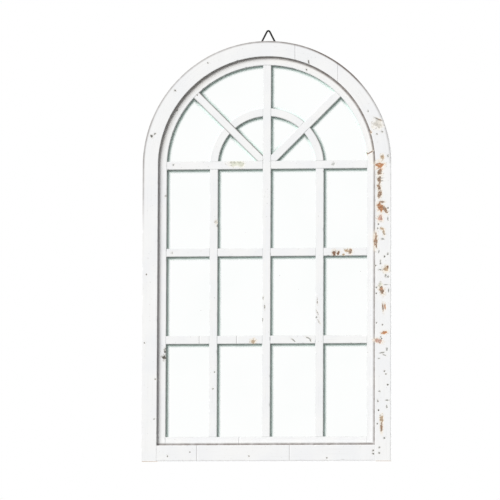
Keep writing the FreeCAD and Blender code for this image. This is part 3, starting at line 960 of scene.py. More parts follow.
@dataclass
class Run:
    """Stations along a length of wood, with the section of each stretch between them."""

    stations: list[Station]
    sections: list[Section] = field(default_factory=list)
    crack_depth: float = 0.5

    def to(self, place: Stop, section: Section, crack: float = 0.0) -> "Run":
        """Add a stretch up to a place.

        Args:
            place: The place.
            section: Section of the stretch.
            crack: Depth of a crack at the place.

        Returns:
            The run itself.
        """
        self.stations.append(Station(place, crack))
        self.sections.append(section)
        return self

    def cracked(self, place: Stop, section: Section, half: float) -> "Run":
        """Add a stretch up to a hairline crack and the crack.

        Args:
            place: Place of the crack.
            section: Section of the stretch.
            half: Half of the crack's width, in the unit of the places along.

        Returns:
            The run itself.
        """
        middle = Station(place)
        for offset, groove in ((-half, 0.0), (0.0, self.crack_depth), (half, 0.0)):
            self.to(lambda across, o=offset: middle.along(across) + o, section, groove)
        return self


@dataclass(frozen=True)
class Fade:
    """Strength of a dark line, read between places along a length of wood or angles round the arch."""

    places: tuple[float, ...] = (0.0,)
    levels: tuple[float, ...] = (0.0,)

    @classmethod
    def even(cls, level: float) -> "Fade":
        """One strength all along."""
        return cls((0.0,), (level,))

    def at(self, places: Array) -> Array:
        """The strength at each place."""
        return np.interp(places, self.places, self.levels)


@dataclass(frozen=True)
class Grime:
    """Painted shade on a length of wood: dark lines along its arrises, beside the frame's lip and at its
    foot, on its sides, and a warm tint beside the lip.
    """

    low: Fade = Fade()
    high: Fade = Fade()
    lip: Fade = Fade()
    warm: Fade = Fade()
    wide: float = 2.6
    core: float = 1.8
    corner_wide: float = 3.2
    corner_core: float = 2.2
    wash: float = 0.0
    soil: float = 0.0
    foot: float = 0.0
    floor: float = 0.0

    def line(self, distance: Array) -> Array:
        """Strength of a line by the distance from its arris."""
        return np.clip(self.core - distance / self.wide * self.core, 0.0, 1.0)

    def corner(self, distance: Array) -> Array:
        """Strength of the painted shade in a corner by the distance from it."""
        return np.clip(self.corner_core - distance / self.corner_wide, 0.0, 1.0)


@dataclass(frozen=True)
class Wear:
    """How the wood's front is worn: marks, chips, waves and nicks, how its sides are bare, and how far its
    painted shade reaches the front and the sides.
    """

    marks: Sequence[Mark] = tuple(Mark(tone, *row) for tone, rows in MARKS.items() for row in rows)
    reach: float = 15.0
    loss: float = 0.35
    loss_slope: float = 4.0
    loss_lead: float = 0.3
    wave: float = 0.10
    wave_length: float = 70.0
    wave_seed: int = 3
    calm: float = 4.0
    nick: float = 0.7
    nick_lengths: Pair = (23.0, 6.0)
    nick_share: float = 0.6
    nick_floor: float = 1.15
    nick_seeds: tuple[int, int] = (11, 12)
    nick_seed_step: int = 5
    soft: float = 1.4
    back_edge: float = 0.3
    back_side: float = 0.2
    side_share: float = 0.4
    # Share of the sides' green painted shade that reaches the front beside the arrises
    front_wash: float = 0.3

    def bare(self, x: Array, z: Array) -> tuple[Array, Array]:
        """Where the paint is gone.

        Args:
            x: Places across.
            z: Heights.

        Returns:
            How far each place is inside a mark, from -1 to 1, and the colour of its nearest mark.
        """
        inside = np.full(x.shape, -1.0)
        tint = np.tile(np.array(Tone.PINE.value), (*x.shape, 1))
        low = np.array([x.min(), z.min()]) - self.reach
        high = np.array([x.max(), z.max()]) + self.reach
        for mark in self.marks:
            if low[0] < mark.x < high[0] and low[1] < mark.z < high[1]:
                value = mark.inside(x, z)
                nearer = value > inside
                inside = np.where(nearer, value, inside)
                tint[nearer] = mark.tone.value
        return np.clip(inside, -1.0, 1.0), tint

    def nicks(self, x: Array, z: Array, seed: int) -> Array:
        """Nicks along an arris.

        Args:
            x: Places across.
            z: Heights.
            seed: Seed of the nicks.

        Returns:
            Their depth at each place.
        """
        long, short = self.nick_lengths
        height = ripple(x, z, long, seed) + self.nick_share * ripple(x, z, short, seed + self.nick_seed_step)
        return self.nick * np.clip(height - self.nick_floor, 0.0, 1.0)

    def sunk(self, x: Array, z: Array, inside: Array, inset: Array) -> tuple[Array, Array]:
        """Relief of the front.

        Args:
            x: Places across.
            z: Heights.
            inside: How far each place is inside a mark.
            inset: Its distance from the nearer edge.

        Returns:
            Depth of the waves, and of the chips.
        """
        calm = np.clip(inset / self.calm, 0.0, 1.0)
        waves = self.wave * ripple(x, z, self.wave_length, self.wave_seed) * calm
        return waves, self.loss * np.clip(inside * self.loss_slope + self.loss_lead, 0.0, 1.0)


@dataclass
class Timber:
    """One length of painted wood, drawn as rings of points across it."""

    name: str
    run: Run
    place: Places
    step: float
    shoulder: float
    lip: float = 0.0
    spring: float = 0.0
    open_edges: tuple[bool, bool] = (True, True)
    grime: Grime = Grime()

    def rings(self) -> tuple[Array, ...]:
        """Lay out the rings.

        Returns:
            Places along, places across, depths of the front and of the back, and cracks, by ring and line.
        """
        rows: list[tuple[Array, ...]] = []
        across = self.run.sections[0].across
        zero = np.zeros(len(across))
        before: Section | None = None
        for first, last, section in zip(self.run.stations, self.run.stations[1:], self.run.sections):
            start, end = first.along(across), last.along(across)
            count = max(1, math.ceil(np.abs(end - start).max() / self.step))
            for index in range(0 if section is not before else 1, count + 1):
                share = index / count
                groove = last.crack if index == count else 0.0
                along = start + (end - start) * share
                crack = zero + (1.0 if groove else 0.0)
                rows.append((along, across, section.front + groove, section.back, crack))
            before = section
        return tuple(np.array(column) for column in zip(*rows))

    def settled(self, along: Array, across: Array, gaps: tuple[Array, Array]) -> tuple[Array, Array]:
        """Painted shade and a warm tint on the front.

        Args:
            along: Places along.
            across: Places across.
            gaps: Distances from the two edges.

        Returns:
            Strength of the painted shade, and of the warm tint beside the lip, which partly stands in for
            the warm tone of the lip's shadow.
        """
        grime = self.grime
        stops = np.degrees(along) if self.spring else along
        # Painted shade in the corner beside the frame's lip, along the two arrises, and at the foot of the
        # sash's stiles
        dirt = grime.lip.at(stops) * grime.corner(self.lip - across) if self.lip else 0.0
        for gap, line in zip(gaps, (grime.low, grime.high)):
            dirt = np.maximum(dirt, line.at(stops) * grime.line(gap))
        if grime.foot:
            dirt = np.maximum(dirt, grime.foot * grime.corner(along - grime.floor))
        rise = gaps[0] / max(self.lip - across[0, 0], 1.0)
        return dirt, grime.warm.at(stops) * np.clip(rise, 0.0, 1.0)

    def mesh(self, wear: Wear) -> Mesh:
        """Draw the worn mesh with its wear and painted shade attributes and grain map.

        Args:
            wear: How it is worn.

        Returns:
            The mesh, in metres, or still straight where the timber is to be bent.
        """
        along, across, front, back, crack = self.rings()
        shape, rings = front.shape, len(front)
        x, z = self.place(along, across)
        inside, tint = wear.bare(x, z)
        gaps = (across - across[0, 0], across[0, -1] - across)
        inset = np.minimum(*gaps)
        near = [np.exp(-gap / wear.soft) * opened for gap, opened in zip(gaps, self.open_edges)]
        nicks = [edge * wear.nicks(x, z, seed) for edge, seed in zip(near, wear.nick_seeds)]
        waves, chips = wear.sunk(x, z, inside, inset)
        raised = np.maximum(front, front + waves) + chips + nicks[0] + nicks[1]
        worn = np.where(front >= self.shoulder - SAME_DEPTH, front, raised)
        dirt, warm = self.settled(along, across, gaps)
        # Green painted shade on the front next to the arrises
        wash = self.grime.wash * wear.front_wash * np.clip(1.0 - inset / wear.soft, 0.0, 1.0)
        hidden, soil = np.ones(shape), np.zeros(shape)
        hidden[:, [0, -1]] = wear.back_edge
        # Painted shade on the low wall, which is the wall of the frame's lip
        soil[:, 0] = self.grime.soil

        def column(face: Values, rear: Values = 0.0, low: Values = 0.0, high: Values | None = None) -> Array:
            """Values at all points: on the front, on the back, and on the low and the high shoulder line."""
            sides = (low, low if high is None else high)
            faces = [np.broadcast_to(values, shape).ravel() for values in (face, rear)]
            return np.concatenate([*faces, *(np.broadcast_to(values, rings) for values in sides)])

        depths = [np.clip(self.shoulder, front[:, i], back[:, i]) for i in (0, -1)]
        flat = {
            "along": column(along, along, along[:, 0], along[:, -1]),
            "across": column(across + (nicks[0] - nicks[1]), across, across[:, 0], across[:, -1]),
            "depth": column(worn, back, *depths),
        }
        # Wear and painted shade at every point: bare marks, rubbed arrises, dark painted shade, bare back,
        # cracks, green painted shade on the sides, and the warm tint beside the lip
        columns = {
            "chip": column(inside, -1.0, -1.0),
            "edge": column(np.maximum(*near)),
            "dirt": column(dirt, soil, self.grime.soil * wear.side_share, 0.0),
            "back": column(0.0, hidden, wear.back_side),
            "crack": column(crack),
            "wash": column(wash, self.grime.wash, self.grime.wash * wear.side_share),
            "warm": column(warm),
        }
        rest = front.size + 2 * rings
        tints = np.concatenate([tint.reshape(-1, 3), np.tile(tint[0, 0], (rest, 1))])
        return self.written(flat, columns, tints, self.faces(*shape))

    @staticmethod
    def faces(rings: int, lines: int) -> list[Face]:
        """Faces of the rings: front, back, sides with their shoulder lines, and ends.

        Args:
            rings: Number of rings.
            lines: Number of lines across each.

        Returns:
            Corner numbers of each face.
        """
        size = rings * lines
        found: list[Face] = []
        for k in range(rings - 1):
            row, after = k * lines, (k + 1) * lines
            for i in range(lines - 1):
                a, b, c, d = row + i, row + i + 1, after + i + 1, after + i
                found.append((a, b, c, d))
                found.append((size + d, size + c, size + b, size + a))
            for i, side in ((0, 2 * size), (lines - 1, 2 * size + rings)):
                edges = [(row + i, after + i), (side + k, side + k + 1), (size + row + i, size + after + i)]
                for near, far in zip(edges, edges[1:]):
                    quad = (*near, *far[::-1])
                    found.append(quad if i == 0 else quad[::-1])
        for k, turned_round in ((0, False), (rings - 1, True)):
            row = k * lines
            for i in range(lines - 1):
                cap = [row + i, size + row + i, size + row + i + 1, row + i + 1]
                if i == 0:
                    cap.insert(1, 2 * size + k)
                if i == lines - 2:
                    cap.insert(-1, 2 * size + rings + k)
                found.append(tuple(cap[::-1] if turned_round else cap))
        return found

    def written(
        self, flat: dict[str, Array], columns: dict[str, Array], tints: Array, faces: list[Face]
    ) -> Mesh:
        """Write the mesh, with points that fall together joined and flat faces left out.

        Args:
            flat: Places along and across and depths of the points.
            columns: Their wear.
            tints: Colours of the nearest marks.
            faces: Corner numbers of each face.

        Returns:
            The mesh.
        """
        x, z = self.place(flat["along"], flat["across"])
        real = np.stack([x, flat["depth"], z], axis=1)
        near = np.round(real, JOIN_DIGITS)
        _, first, joined = np.unique(near, axis=0, return_index=True, return_inverse=True)
        joined = joined.ravel()
        kept: list[Face] = []
        for face in faces:
            ends = [int(joined[i]) for i in face]
            ring = tuple(c for i, c in enumerate(ends) if c != ends[i - 1])
            if len(set(ring)) == len(ring) > 2:
                kept.append(ring)
        points = real[first]
        if volume(points, kept) < 0:
            kept = [face[::-1] for face in kept]
        if self.spring:
            points = np.stack([flat["along"] / MM, flat["depth"], flat["across"]], axis=1)[first]
        data = bpy.data.meshes.new(self.name)
        data.from_pydata((points * MM).tolist(), [], kept)
        for key in ("chip", "wash", "warm"):
            layer = data.attributes.new(key, "FLOAT", "POINT")
            layer.data.foreach_set("value", columns[key][first].astype(np.float32))
        packed = np.stack([columns[key] for key in ("edge", "dirt", "back", "crack")], axis=1)
        opaque = np.concatenate([tints, np.ones((len(tints), 1))], axis=1)
        for key, values in (("wear", packed), ("tint", opaque)):
            layer = data.attributes.new(key, "FLOAT_COLOR", "POINT")
            layer.data.foreach_set("color", values[first].astype(np.float32).ravel())
        numbers = np.zeros(len(data.loops), np.int32)
        data.loops.foreach_get("vertex_index", numbers)
        scale = abs(flat["across"]).mean() if self.spring else 1.0
        grain = np.stack([flat["along"] * scale, flat["across"]], axis=1)[first][numbers] * MM
        data.uv_layers.new(name="grain").data.foreach_set("uv", grain.astype(np.float32).ravel())
        return data


def volume(points: Array, faces: Sequence[Face]) -> float:
    """Signed volume inside faces.

    Args:
        points: Places of the corners.
        faces: Corner numbers of each face.

    Returns:
        The volume, which is positive where the faces point outwards.
    """
    fan = [(face[0], face[i], face[i + 1]) for face in faces for i in range(1, len(face) - 1)]
    a, b, c = (points[list(corner)] for corner in zip(*fan))
    return float(np.einsum("ij,ij->i", a, np.cross(b, c)).sum() / 6)


# Rules drawn as geometry nodes
class Rule(Tree):
    """A geometry node tree with named inputs while it is drawn."""

    def __init__(self, name: str, inputs: dict[str, str]) -> None:
        """Start a tree.

        Args:
            name: Its name.
            inputs: Kind of each named input.
        """
        super().__init__(bpy.data.node_groups.new(name, "GeometryNodeTree"))
        sockets = self.tree.interface
        sockets.new_socket("Geometry", in_out="OUTPUT", socket_type="NodeSocketGeometry")
        for label, kind in {"Geometry": "Geometry", **inputs, "Material": "Material"}.items():
            sockets.new_socket(label, in_out="INPUT", socket_type=f"NodeSocket{kind}")
        self.given = self.add("NodeGroupInput").outputs

    def joined(self, *parts: Socket) -> Socket:
        """Join parts.

        Args:
            parts: The parts.

        Returns:
            One geometry.
        """
        node = self.add("GeometryNodeJoinGeometry")
        for part in parts:
            self.tree.links.new(part, node.inputs[0])
        return node.outputs[0]

    def rounded(self, curve: Socket, count: int, radius: Socket) -> Socket:
        """A line with rounded corners of so many points."""
        sockets = {"Curve": curve, "Count": count, "Radius": radius}
        return self.out("GeometryNodeFilletCurve", sockets, mode="POLY")

    def circle(self, count: int, diameter: Socket) -> Socket:
        """A circle of so many points."""
        sockets = {"Resolution": count, "Radius": self.sum("MULTIPLY", diameter, 0.5)}
        return self.out("GeometryNodeCurvePrimitiveCircle", sockets)

    def close(self, geometry: Socket) -> Nodes:
        """Realise the instances, set the material and end the tree.

        Args:
            geometry: What the tree has drawn.

        Returns:
            The finished tree.
        """
        whole = self.out("GeometryNodeRealizeInstances", {"Geometry": geometry})
        sockets = {"Geometry": whole, "Material": self.given["Material"]}
        self.add("NodeGroupOutput", {0: self.out("GeometryNodeSetMaterial", sockets)})
        return self.tree


def bend_rule() -> Nodes:
    """Rule that bends straight stock round the arch's centre: its length is an angle, its width a radius.

    Returns:
        The tree.
    """
    rule = Rule("bend_to_arch", {"Spring Height": "Float"})
    place = rule.out("GeometryNodeInputPosition")
    turn, depth, radius = rule.add("ShaderNodeSeparateXYZ", {0: place}).outputs
    across = rule.sum("MULTIPLY", radius, rule.sum("COSINE", turn))
    rise = rule.sum("MULTIPLY", radius, rule.sum("SINE", turn))
    height = rule.sum("ADD", rise, rule.given["Spring Height"])
    bent = rule.out("ShaderNodeCombineXYZ", {0: across, 1: depth, 2: height})
    sockets = {"Geometry": rule.given["Geometry"], "Position": bent}
    return rule.close(rule.out("GeometryNodeSetPosition", sockets))


def fixing_rule() -> Nodes:
    """Rule that sets a fixing on each point, turned about the depth axis by a seeded angle.

    Returns:
        The tree.
    """
    rule = Rule("fixings_on_points", {"Fixing": "Object", "Most Turn": "Float", "Seed": "Int"})
    fixing = rule.add("GeometryNodeObjectInfo", {"Object": rule.given["Fixing"]}).outputs["Geometry"]
    sockets = {2: 0.0, 3: rule.given["Most Turn"], "Seed": rule.given["Seed"]}
    turn = rule.add("FunctionNodeRandomValue", sockets, data_type="FLOAT").outputs[1]
    spin = rule.out("ShaderNodeCombineXYZ", {1: turn})
    sockets = {"Points": rule.given["Geometry"], "Instance": fixing, "Rotation": spin}
    return rule.close(rule.out("GeometryNodeInstanceOnPoints", sockets))


def button_rule() -> Nodes:
    """Rule for a flat turn button: a round-ended plate with a hole about the origin, reaching along +X.

    Returns:
        The tree.
    """
    rule = Rule("turn_button", {"Reach": "Float", "Width": "Float", "Thickness": "Float", "Hole": "Float"})
    reach, width = rule.given["Reach"], rule.given["Width"]
    sockets = {"Width": rule.sum("ADD", reach, width), "Height": width}
    plate = rule.out("GeometryNodeCurvePrimitiveQuadrilateral", sockets)
    outline = rule.rounded(plate, CORNER_POINTS, rule.sum("MULTIPLY", width, NEARLY_HALF))
    middle = rule.out("ShaderNodeCombineXYZ", {0: rule.sum("MULTIPLY", reach, 0.5)})
    outline = rule.out("GeometryNodeTransform", {"Geometry": outline, "Translation": middle})
    hole = rule.circle(HOLE_POINTS, rule.given["Hole"])
    face = rule.out("GeometryNodeFillCurve", {"Curve": rule.joined(outline, hole)})
    sockets = {"Mesh": face, "Offset Scale": rule.given["Thickness"], "Individual": False}
    top = rule.out("GeometryNodeExtrudeMesh", sockets)
    whole = rule.joined(top, rule.out("GeometryNodeFlipFaces", {"Mesh": face}))
    return rule.close(rule.out("GeometryNodeMergeByDistance", {"Geometry": whole, "Distance": WELD}))


def wire_rule() -> Nodes:
    """Rule that bends round wire along a closed line with rounded corners.

    Returns:
        The tree.
    """
    rule = Rule("bent_wire", {"Wire": "Float", "Bend": "Float"})
    line = rule.out("GeometryNodeMeshToCurve", {"Mesh": rule.given["Geometry"]})
    line = rule.rounded(line, BEND_POINTS, rule.given["Bend"])
    circle = rule.circle(WIRE_POINTS, rule.given["Wire"])
    return rule.close(rule.out("GeometryNodeCurveToMesh", {"Curve": line, "Profile Curve": circle}))


# Meshes and pieces
def placed(name: str, data: bpy.types.ID) -> Thing:
    """Put a new object in the scene.

    Args:
        name: Its name.
        data: Its mesh, lamp or camera.

    Returns:
        The object.
    """
    thing = bpy.data.objects.new(name, data)
    bpy.context.scene.collection.objects.link(thing)
    return thing


def evaluated(thing: Thing) -> Mesh:
    """An object's mesh with its modifiers applied."""
    graph = bpy.context.evaluated_depsgraph_get()
    return bpy.data.meshes.new_from_object(thing.evaluated_get(graph), depsgraph=graph)


def realised(data: Mesh, tree: Nodes, inputs: dict[str, object], soften: float = 0.0) -> Mesh:
    """Run a tree on a mesh.

    Args:
        data: The mesh it starts from.
        tree: The tree.
        inputs: Value of each named input, in metres where it is a length.
        soften: Width of a bevel on the sharp edges of the result, or 0.

    Returns:
        The result as a plain mesh.
    """
    holder = placed(tree.name, data)
    modifier = holder.modifiers.new("rule", "NODES")
    modifier.node_group = tree
    for socket in tree.interface.items_tree:
        if socket.in_out == "INPUT" and socket.name in inputs:
            modifier[socket.identifier] = inputs[socket.name]
    if soften:
        bevel = holder.modifiers.new("soften", "BEVEL")
        bevel.width, bevel.segments, bevel.limit_method = soften * MM, BEVEL_SEGMENTS, "ANGLE"
    result = evaluated(holder)
    bpy.data.objects.remove(holder)
    return result


def meshed(name: str, shape: bmesh.types.BMesh) -> Mesh:
    """Turn a shape into a mesh and free it.

    Args:
        name: Name of the mesh.
        shape: The shape.

    Returns:
        The mesh.
    """
    data = bpy.data.meshes.new(name)
    shape.to_mesh(data)
    shape.free()
    return data


def turned(name: str, profile: Sequence[tuple[float, float]], segments: int = 36) -> Mesh:
    """Turn a profile about the depth axis.

    Args:
        name: Name of the mesh.
        profile: Radius and depth of its points, from the axis to the axis.
        segments: Faces round the axis.

    Returns:
        The closed mesh, in metres.
    """
    shape = bmesh.new()
    rings = []
    for radius, depth in profile:
        count = segments if radius else 1
        angles = [2 * math.pi * i / count for i in range(count)]
        places = [(radius * MM * math.cos(a), depth * MM, radius * MM * math.sin(a)) for a in angles]
        rings.append([shape.verts.new(place) for place in places])
    for first, last in zip(rings, rings[1:]):
        for i in range(segments):
            ends = [first[i % len(first)], first[(i + 1) % len(first)]]
            ends += [last[(i + 1) % len(last)], last[i % len(last)]]
            shape.faces.new(list(dict.fromkeys(ends)))
    bmesh.ops.recalc_face_normals(shape, faces=shape.faces)
    return meshed(name, shape)


def points_mesh(name: str, places: Sequence[Vector], closed: bool = False) -> Mesh:
    """Points, or the closed line through them, as a mesh.

    Args:
        name: Name of the mesh.
        places: The points, in millimetres.
        closed: Whether a closed line joins them.

    Returns:
        The mesh, in metres.
    """
    data = bpy.data.meshes.new(name)
    edges = [(i, (i + 1) % len(places)) for i in range(len(places))] if closed else []
    data.from_pydata([tuple(place * MM) for place in places], edges, [])
    return data


def show(
    data: Mesh, name: str, material: Material, nodes: Sequence[str], body: str = BODY
) -> None:
    """Put a finished mesh in the scene in place of its solids.

    Args:
        data: The mesh, in metres, in its place.
        name: Name of the piece.
        material: Its material.
        nodes: The solids that it stands for.
        body: The body that it moves with.
    """
    data.name = name
    data.materials.clear()
    data.materials.append(material)
    data.shade_smooth()
    data.set_sharp_from_angle(angle=math.radians(SHARP))
    piece = placed(name, data)
    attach(piece, body)
    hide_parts(*nodes)
    LOG.info("%s: %d points, %d faces, rides on %s", name, len(data.vertices), len(data.polygons), body)


def carry(node: Thing, material: Material) -> None:
    """Dress a solid whose shape is right as it is.

    Args:
        node: The solid.
        material: Its material.
    """
    node.data.materials.clear()
    node.data.materials.append(material)
    LOG.info("%s: kept, dressed in %s", node.name, material.name)


# Sub-assemblies
@dataclass
class Joinery:
    """What the frame, the sash and the bars share: their lines, finish, wear and way of being drawn."""

    layout: Layout
    finishes: Finishes
    wear: Wear
    bend: Nodes
    hairline: float = 0.75
    arch_joints: tuple[float, ...] = (0.0, 60.0, 120.0, 180.0)

    def upright(self, middle: float, sign: int = 1) -> Places:
        """Places of an upright length: along is up, across goes out from a middle."""
        return lambda along, across: (middle + sign * across, along)

    def level(self, height: float, sign: int = 1) -> Places:
        """Places of a level length: along is to the right, across goes up or down from a height."""
        return lambda along, across: (along, height + sign * across)

    def round_arch(self) -> Places:
        """Places of a bent length: along is an angle in radians, across a radius."""
        return lambda along, across: (across * np.cos(along), self.layout.spring + across * np.sin(along))

    def radial(self, angle: float) -> Places:
        """Places of a length that leaves the arch's centre at an angle."""
        c, s = math.cos(math.radians(angle)), math.sin(math.radians(angle))
        return lambda along, across: (along * c - across * s, self.layout.spring + along * s + across * c)

    def segments(self, stem: str) -> Iterator[tuple[str, float, float]]:
        """Name, first angle and last angle in radians of each segment of an arch."""
        for word, start, end in zip(("right", "crown", "left"), self.arch_joints, self.arch_joints[1:]):
            yield f"{stem}_{word}", math.radians(start), math.radians(end)

    def make(self, timber: Timber) -> None:
        """Draw a length of wood, bend it where it is bent, and show it in place of its solid.

        Args:
            timber: The length.
        """
        data = timber.mesh(self.wear)
        if timber.spring:
            inputs = {"Spring Height": timber.spring * MM, "Material": self.finishes.paint}
            data = realised(data, self.bend, inputs)
        show(data, f"{timber.name}_painted", self.finishes.paint, [timber.name])


@dataclass
class OuterFrame(Joinery):
    """Two stiles, a bottom rail and an arch of three bent segments, all rabbeted behind."""

    arris: float = 0.9
    step: float = 1.7
    arch_cracks: tuple[float, ...] = (174.2, 69.5)
    rail_cracks: tuple[float, ...] = (-167.8, 58.7)
    # Painted dark outline along the outer arris: round the arch by angle, strongest at the upper right, and
    # up the left stile's top
    arch_line: Fade = Fade(
        (0, 24, 36, 48, 56, 66, 78, 90, 102, 114, 138, 150, 162, 180),
        (0.3, 0.4, 0.7, 1.3, 1.4, 1.1, 0.85, 0.85, 0.72, 0.62, 0.58, 0.62, 0.7, 0.74),
    )
    left_line: Fade = Fade((420, 560, 640, 725), (0.0, 0.08, 0.5, 0.7))
    line_width: float = 5.2
    # Painted shade on the wall of the frame's lip
    soil: float = 0.9

    def build(self) -> None:
        """Build the frame's pieces."""
        lay = self.layout
        depths = (lay.y_front, lay.y_back)
        whole = Section.rounded((lay.sight, lay.outer), depths, self.arris, self.step, lay.rabbet)
        cut = whole.rabbeted(lay.rabbet, lay.y_sash)
        for side in Side:
            run = Run([Station(0.0)]).to(lay.rabbet_floor, whole).to(lay.spring, cut)
            place = self.upright(0.0, side.value)
            line = self.left_line if side is Side.LEFT else Fade()
            grime = Grime(high=line, wide=self.line_width, soil=self.soil)
            self.make(Timber(f"{side.word}_stile", run, place, self.step, lay.y_sash, grime=grime))
        run = Run([Station(-lay.sight)])
        for crack in self.rail_cracks:
            run.cracked(crack, cut, self.hairline)
        run.to(lay.sight, cut)
        self.make(Timber("bottom_rail", run, self.level(lay.outer, -1), self.step, lay.y_sash))
        for name, start, end in self.segments("arch"):
            self.arch_segment(name, start, end, cut)

    def arch_segment(self, name: str, start: float, end: float, section: Section) -> None:
        """Build one bent segment with its cracks.

        Args:
            name: Its name.
            start: Angle of its first joint, in radians.
            end: Angle of its last joint, in radians.
            section: Its section.
        """
        lay = self.layout
        middle = (lay.sight + lay.outer) / 2
        run = Run([Station(start)])
        for x in self.arch_cracks:
            if start < math.acos(x / middle) < end:
                run.cracked(lambda radius, x=x: np.arccos(x / radius), section, self.hairline / middle)
        run.to(end, section)
        step, grime = self.step / middle, Grime(high=self.arch_line, wide=self.line_width, soil=self.soil)
        self.make(Timber(name, run, self.round_arch(), step, lay.y_sash, spring=lay.spring, grime=grime))


@dataclass
class Sash(Joinery):
    """Two stiles, a bottom rail and an arch of three bent segments, set back behind the frame's lip."""

    arris: float = 1.1
    step: float = 2.0
    rail_crack: float = -65.4
    # Strengths of the painted shade in the corner beside the frame's lip: round the arch by angle, on the
    # two stiles, and along the bottom rail and at the stiles' foot
    arch_lip: Fade = Fade((0, 36, 60, 84, 108, 140, 180), (1.0, 1.0, 0.9, 0.5, 0.4, 0.35, 0.1))
    # Cream tint beside the lip round the arch, partly standing in for the warm tone of the lip's shadow
    arch_warm: Fade = Fade(
        (8, 20, 46, 80, 118, 130, 142, 166, 180), (0.45, 0.08, 0.16, 0.32, 0.25, 0.42, 0.28, 0.25, 0.08)
    )
    side_lips: Pair = (0.05, 0.75)
    low_lip: float = 0.9

    def build(self) -> None:
        """Build the sash's pieces."""
        lay = self.layout
        depths = (lay.y_sash, lay.y_glass)
        section = Section.rounded((lay.pane, lay.sash_outer), depths, self.arris, self.step)
        common = {"shoulder": lay.y_lap, "lip": lay.sight, "open_edges": (True, False)}
        for side, level in zip(Side, self.side_lips):
            run = Run([Station(lay.rabbet_floor)]).to(lay.spring, section)
            place = self.upright(0.0, side.value)
            floor = lay.outer - lay.sight
            grime = Grime(lip=Fade.even(level), wash=SIDE_SHADE, foot=self.low_lip, floor=floor)
            self.make(Timber(f"sash_{side.word}_stile", run, place, self.step, grime=grime, **common))
        span = (lay.pane, lay.outer - lay.rabbet_floor)
        section_low = Section.rounded(span, depths, self.arris, self.step)
        run = Run([Station(-lay.pane)]).cracked(self.rail_crack, section_low, self.hairline)
        run.to(lay.pane, section_low)
        grime = Grime(lip=Fade.even(self.low_lip), wash=SIDE_SHADE)
        place = self.level(lay.outer, -1)
        self.make(Timber("sash_bottom_rail", run, place, self.step, grime=grime, **common))
        step = self.step / ((lay.pane + lay.sash_outer) / 2)
        grime = Grime(lip=self.arch_lip, warm=self.arch_warm, wash=SIDE_SHADE)
        for name, start, end in self.segments("sash_arch"):
            run = Run([Station(start)]).to(end, section)
            self.make(Timber(name, run, self.round_arch(), step, spring=lay.spring, grime=grime, **common))


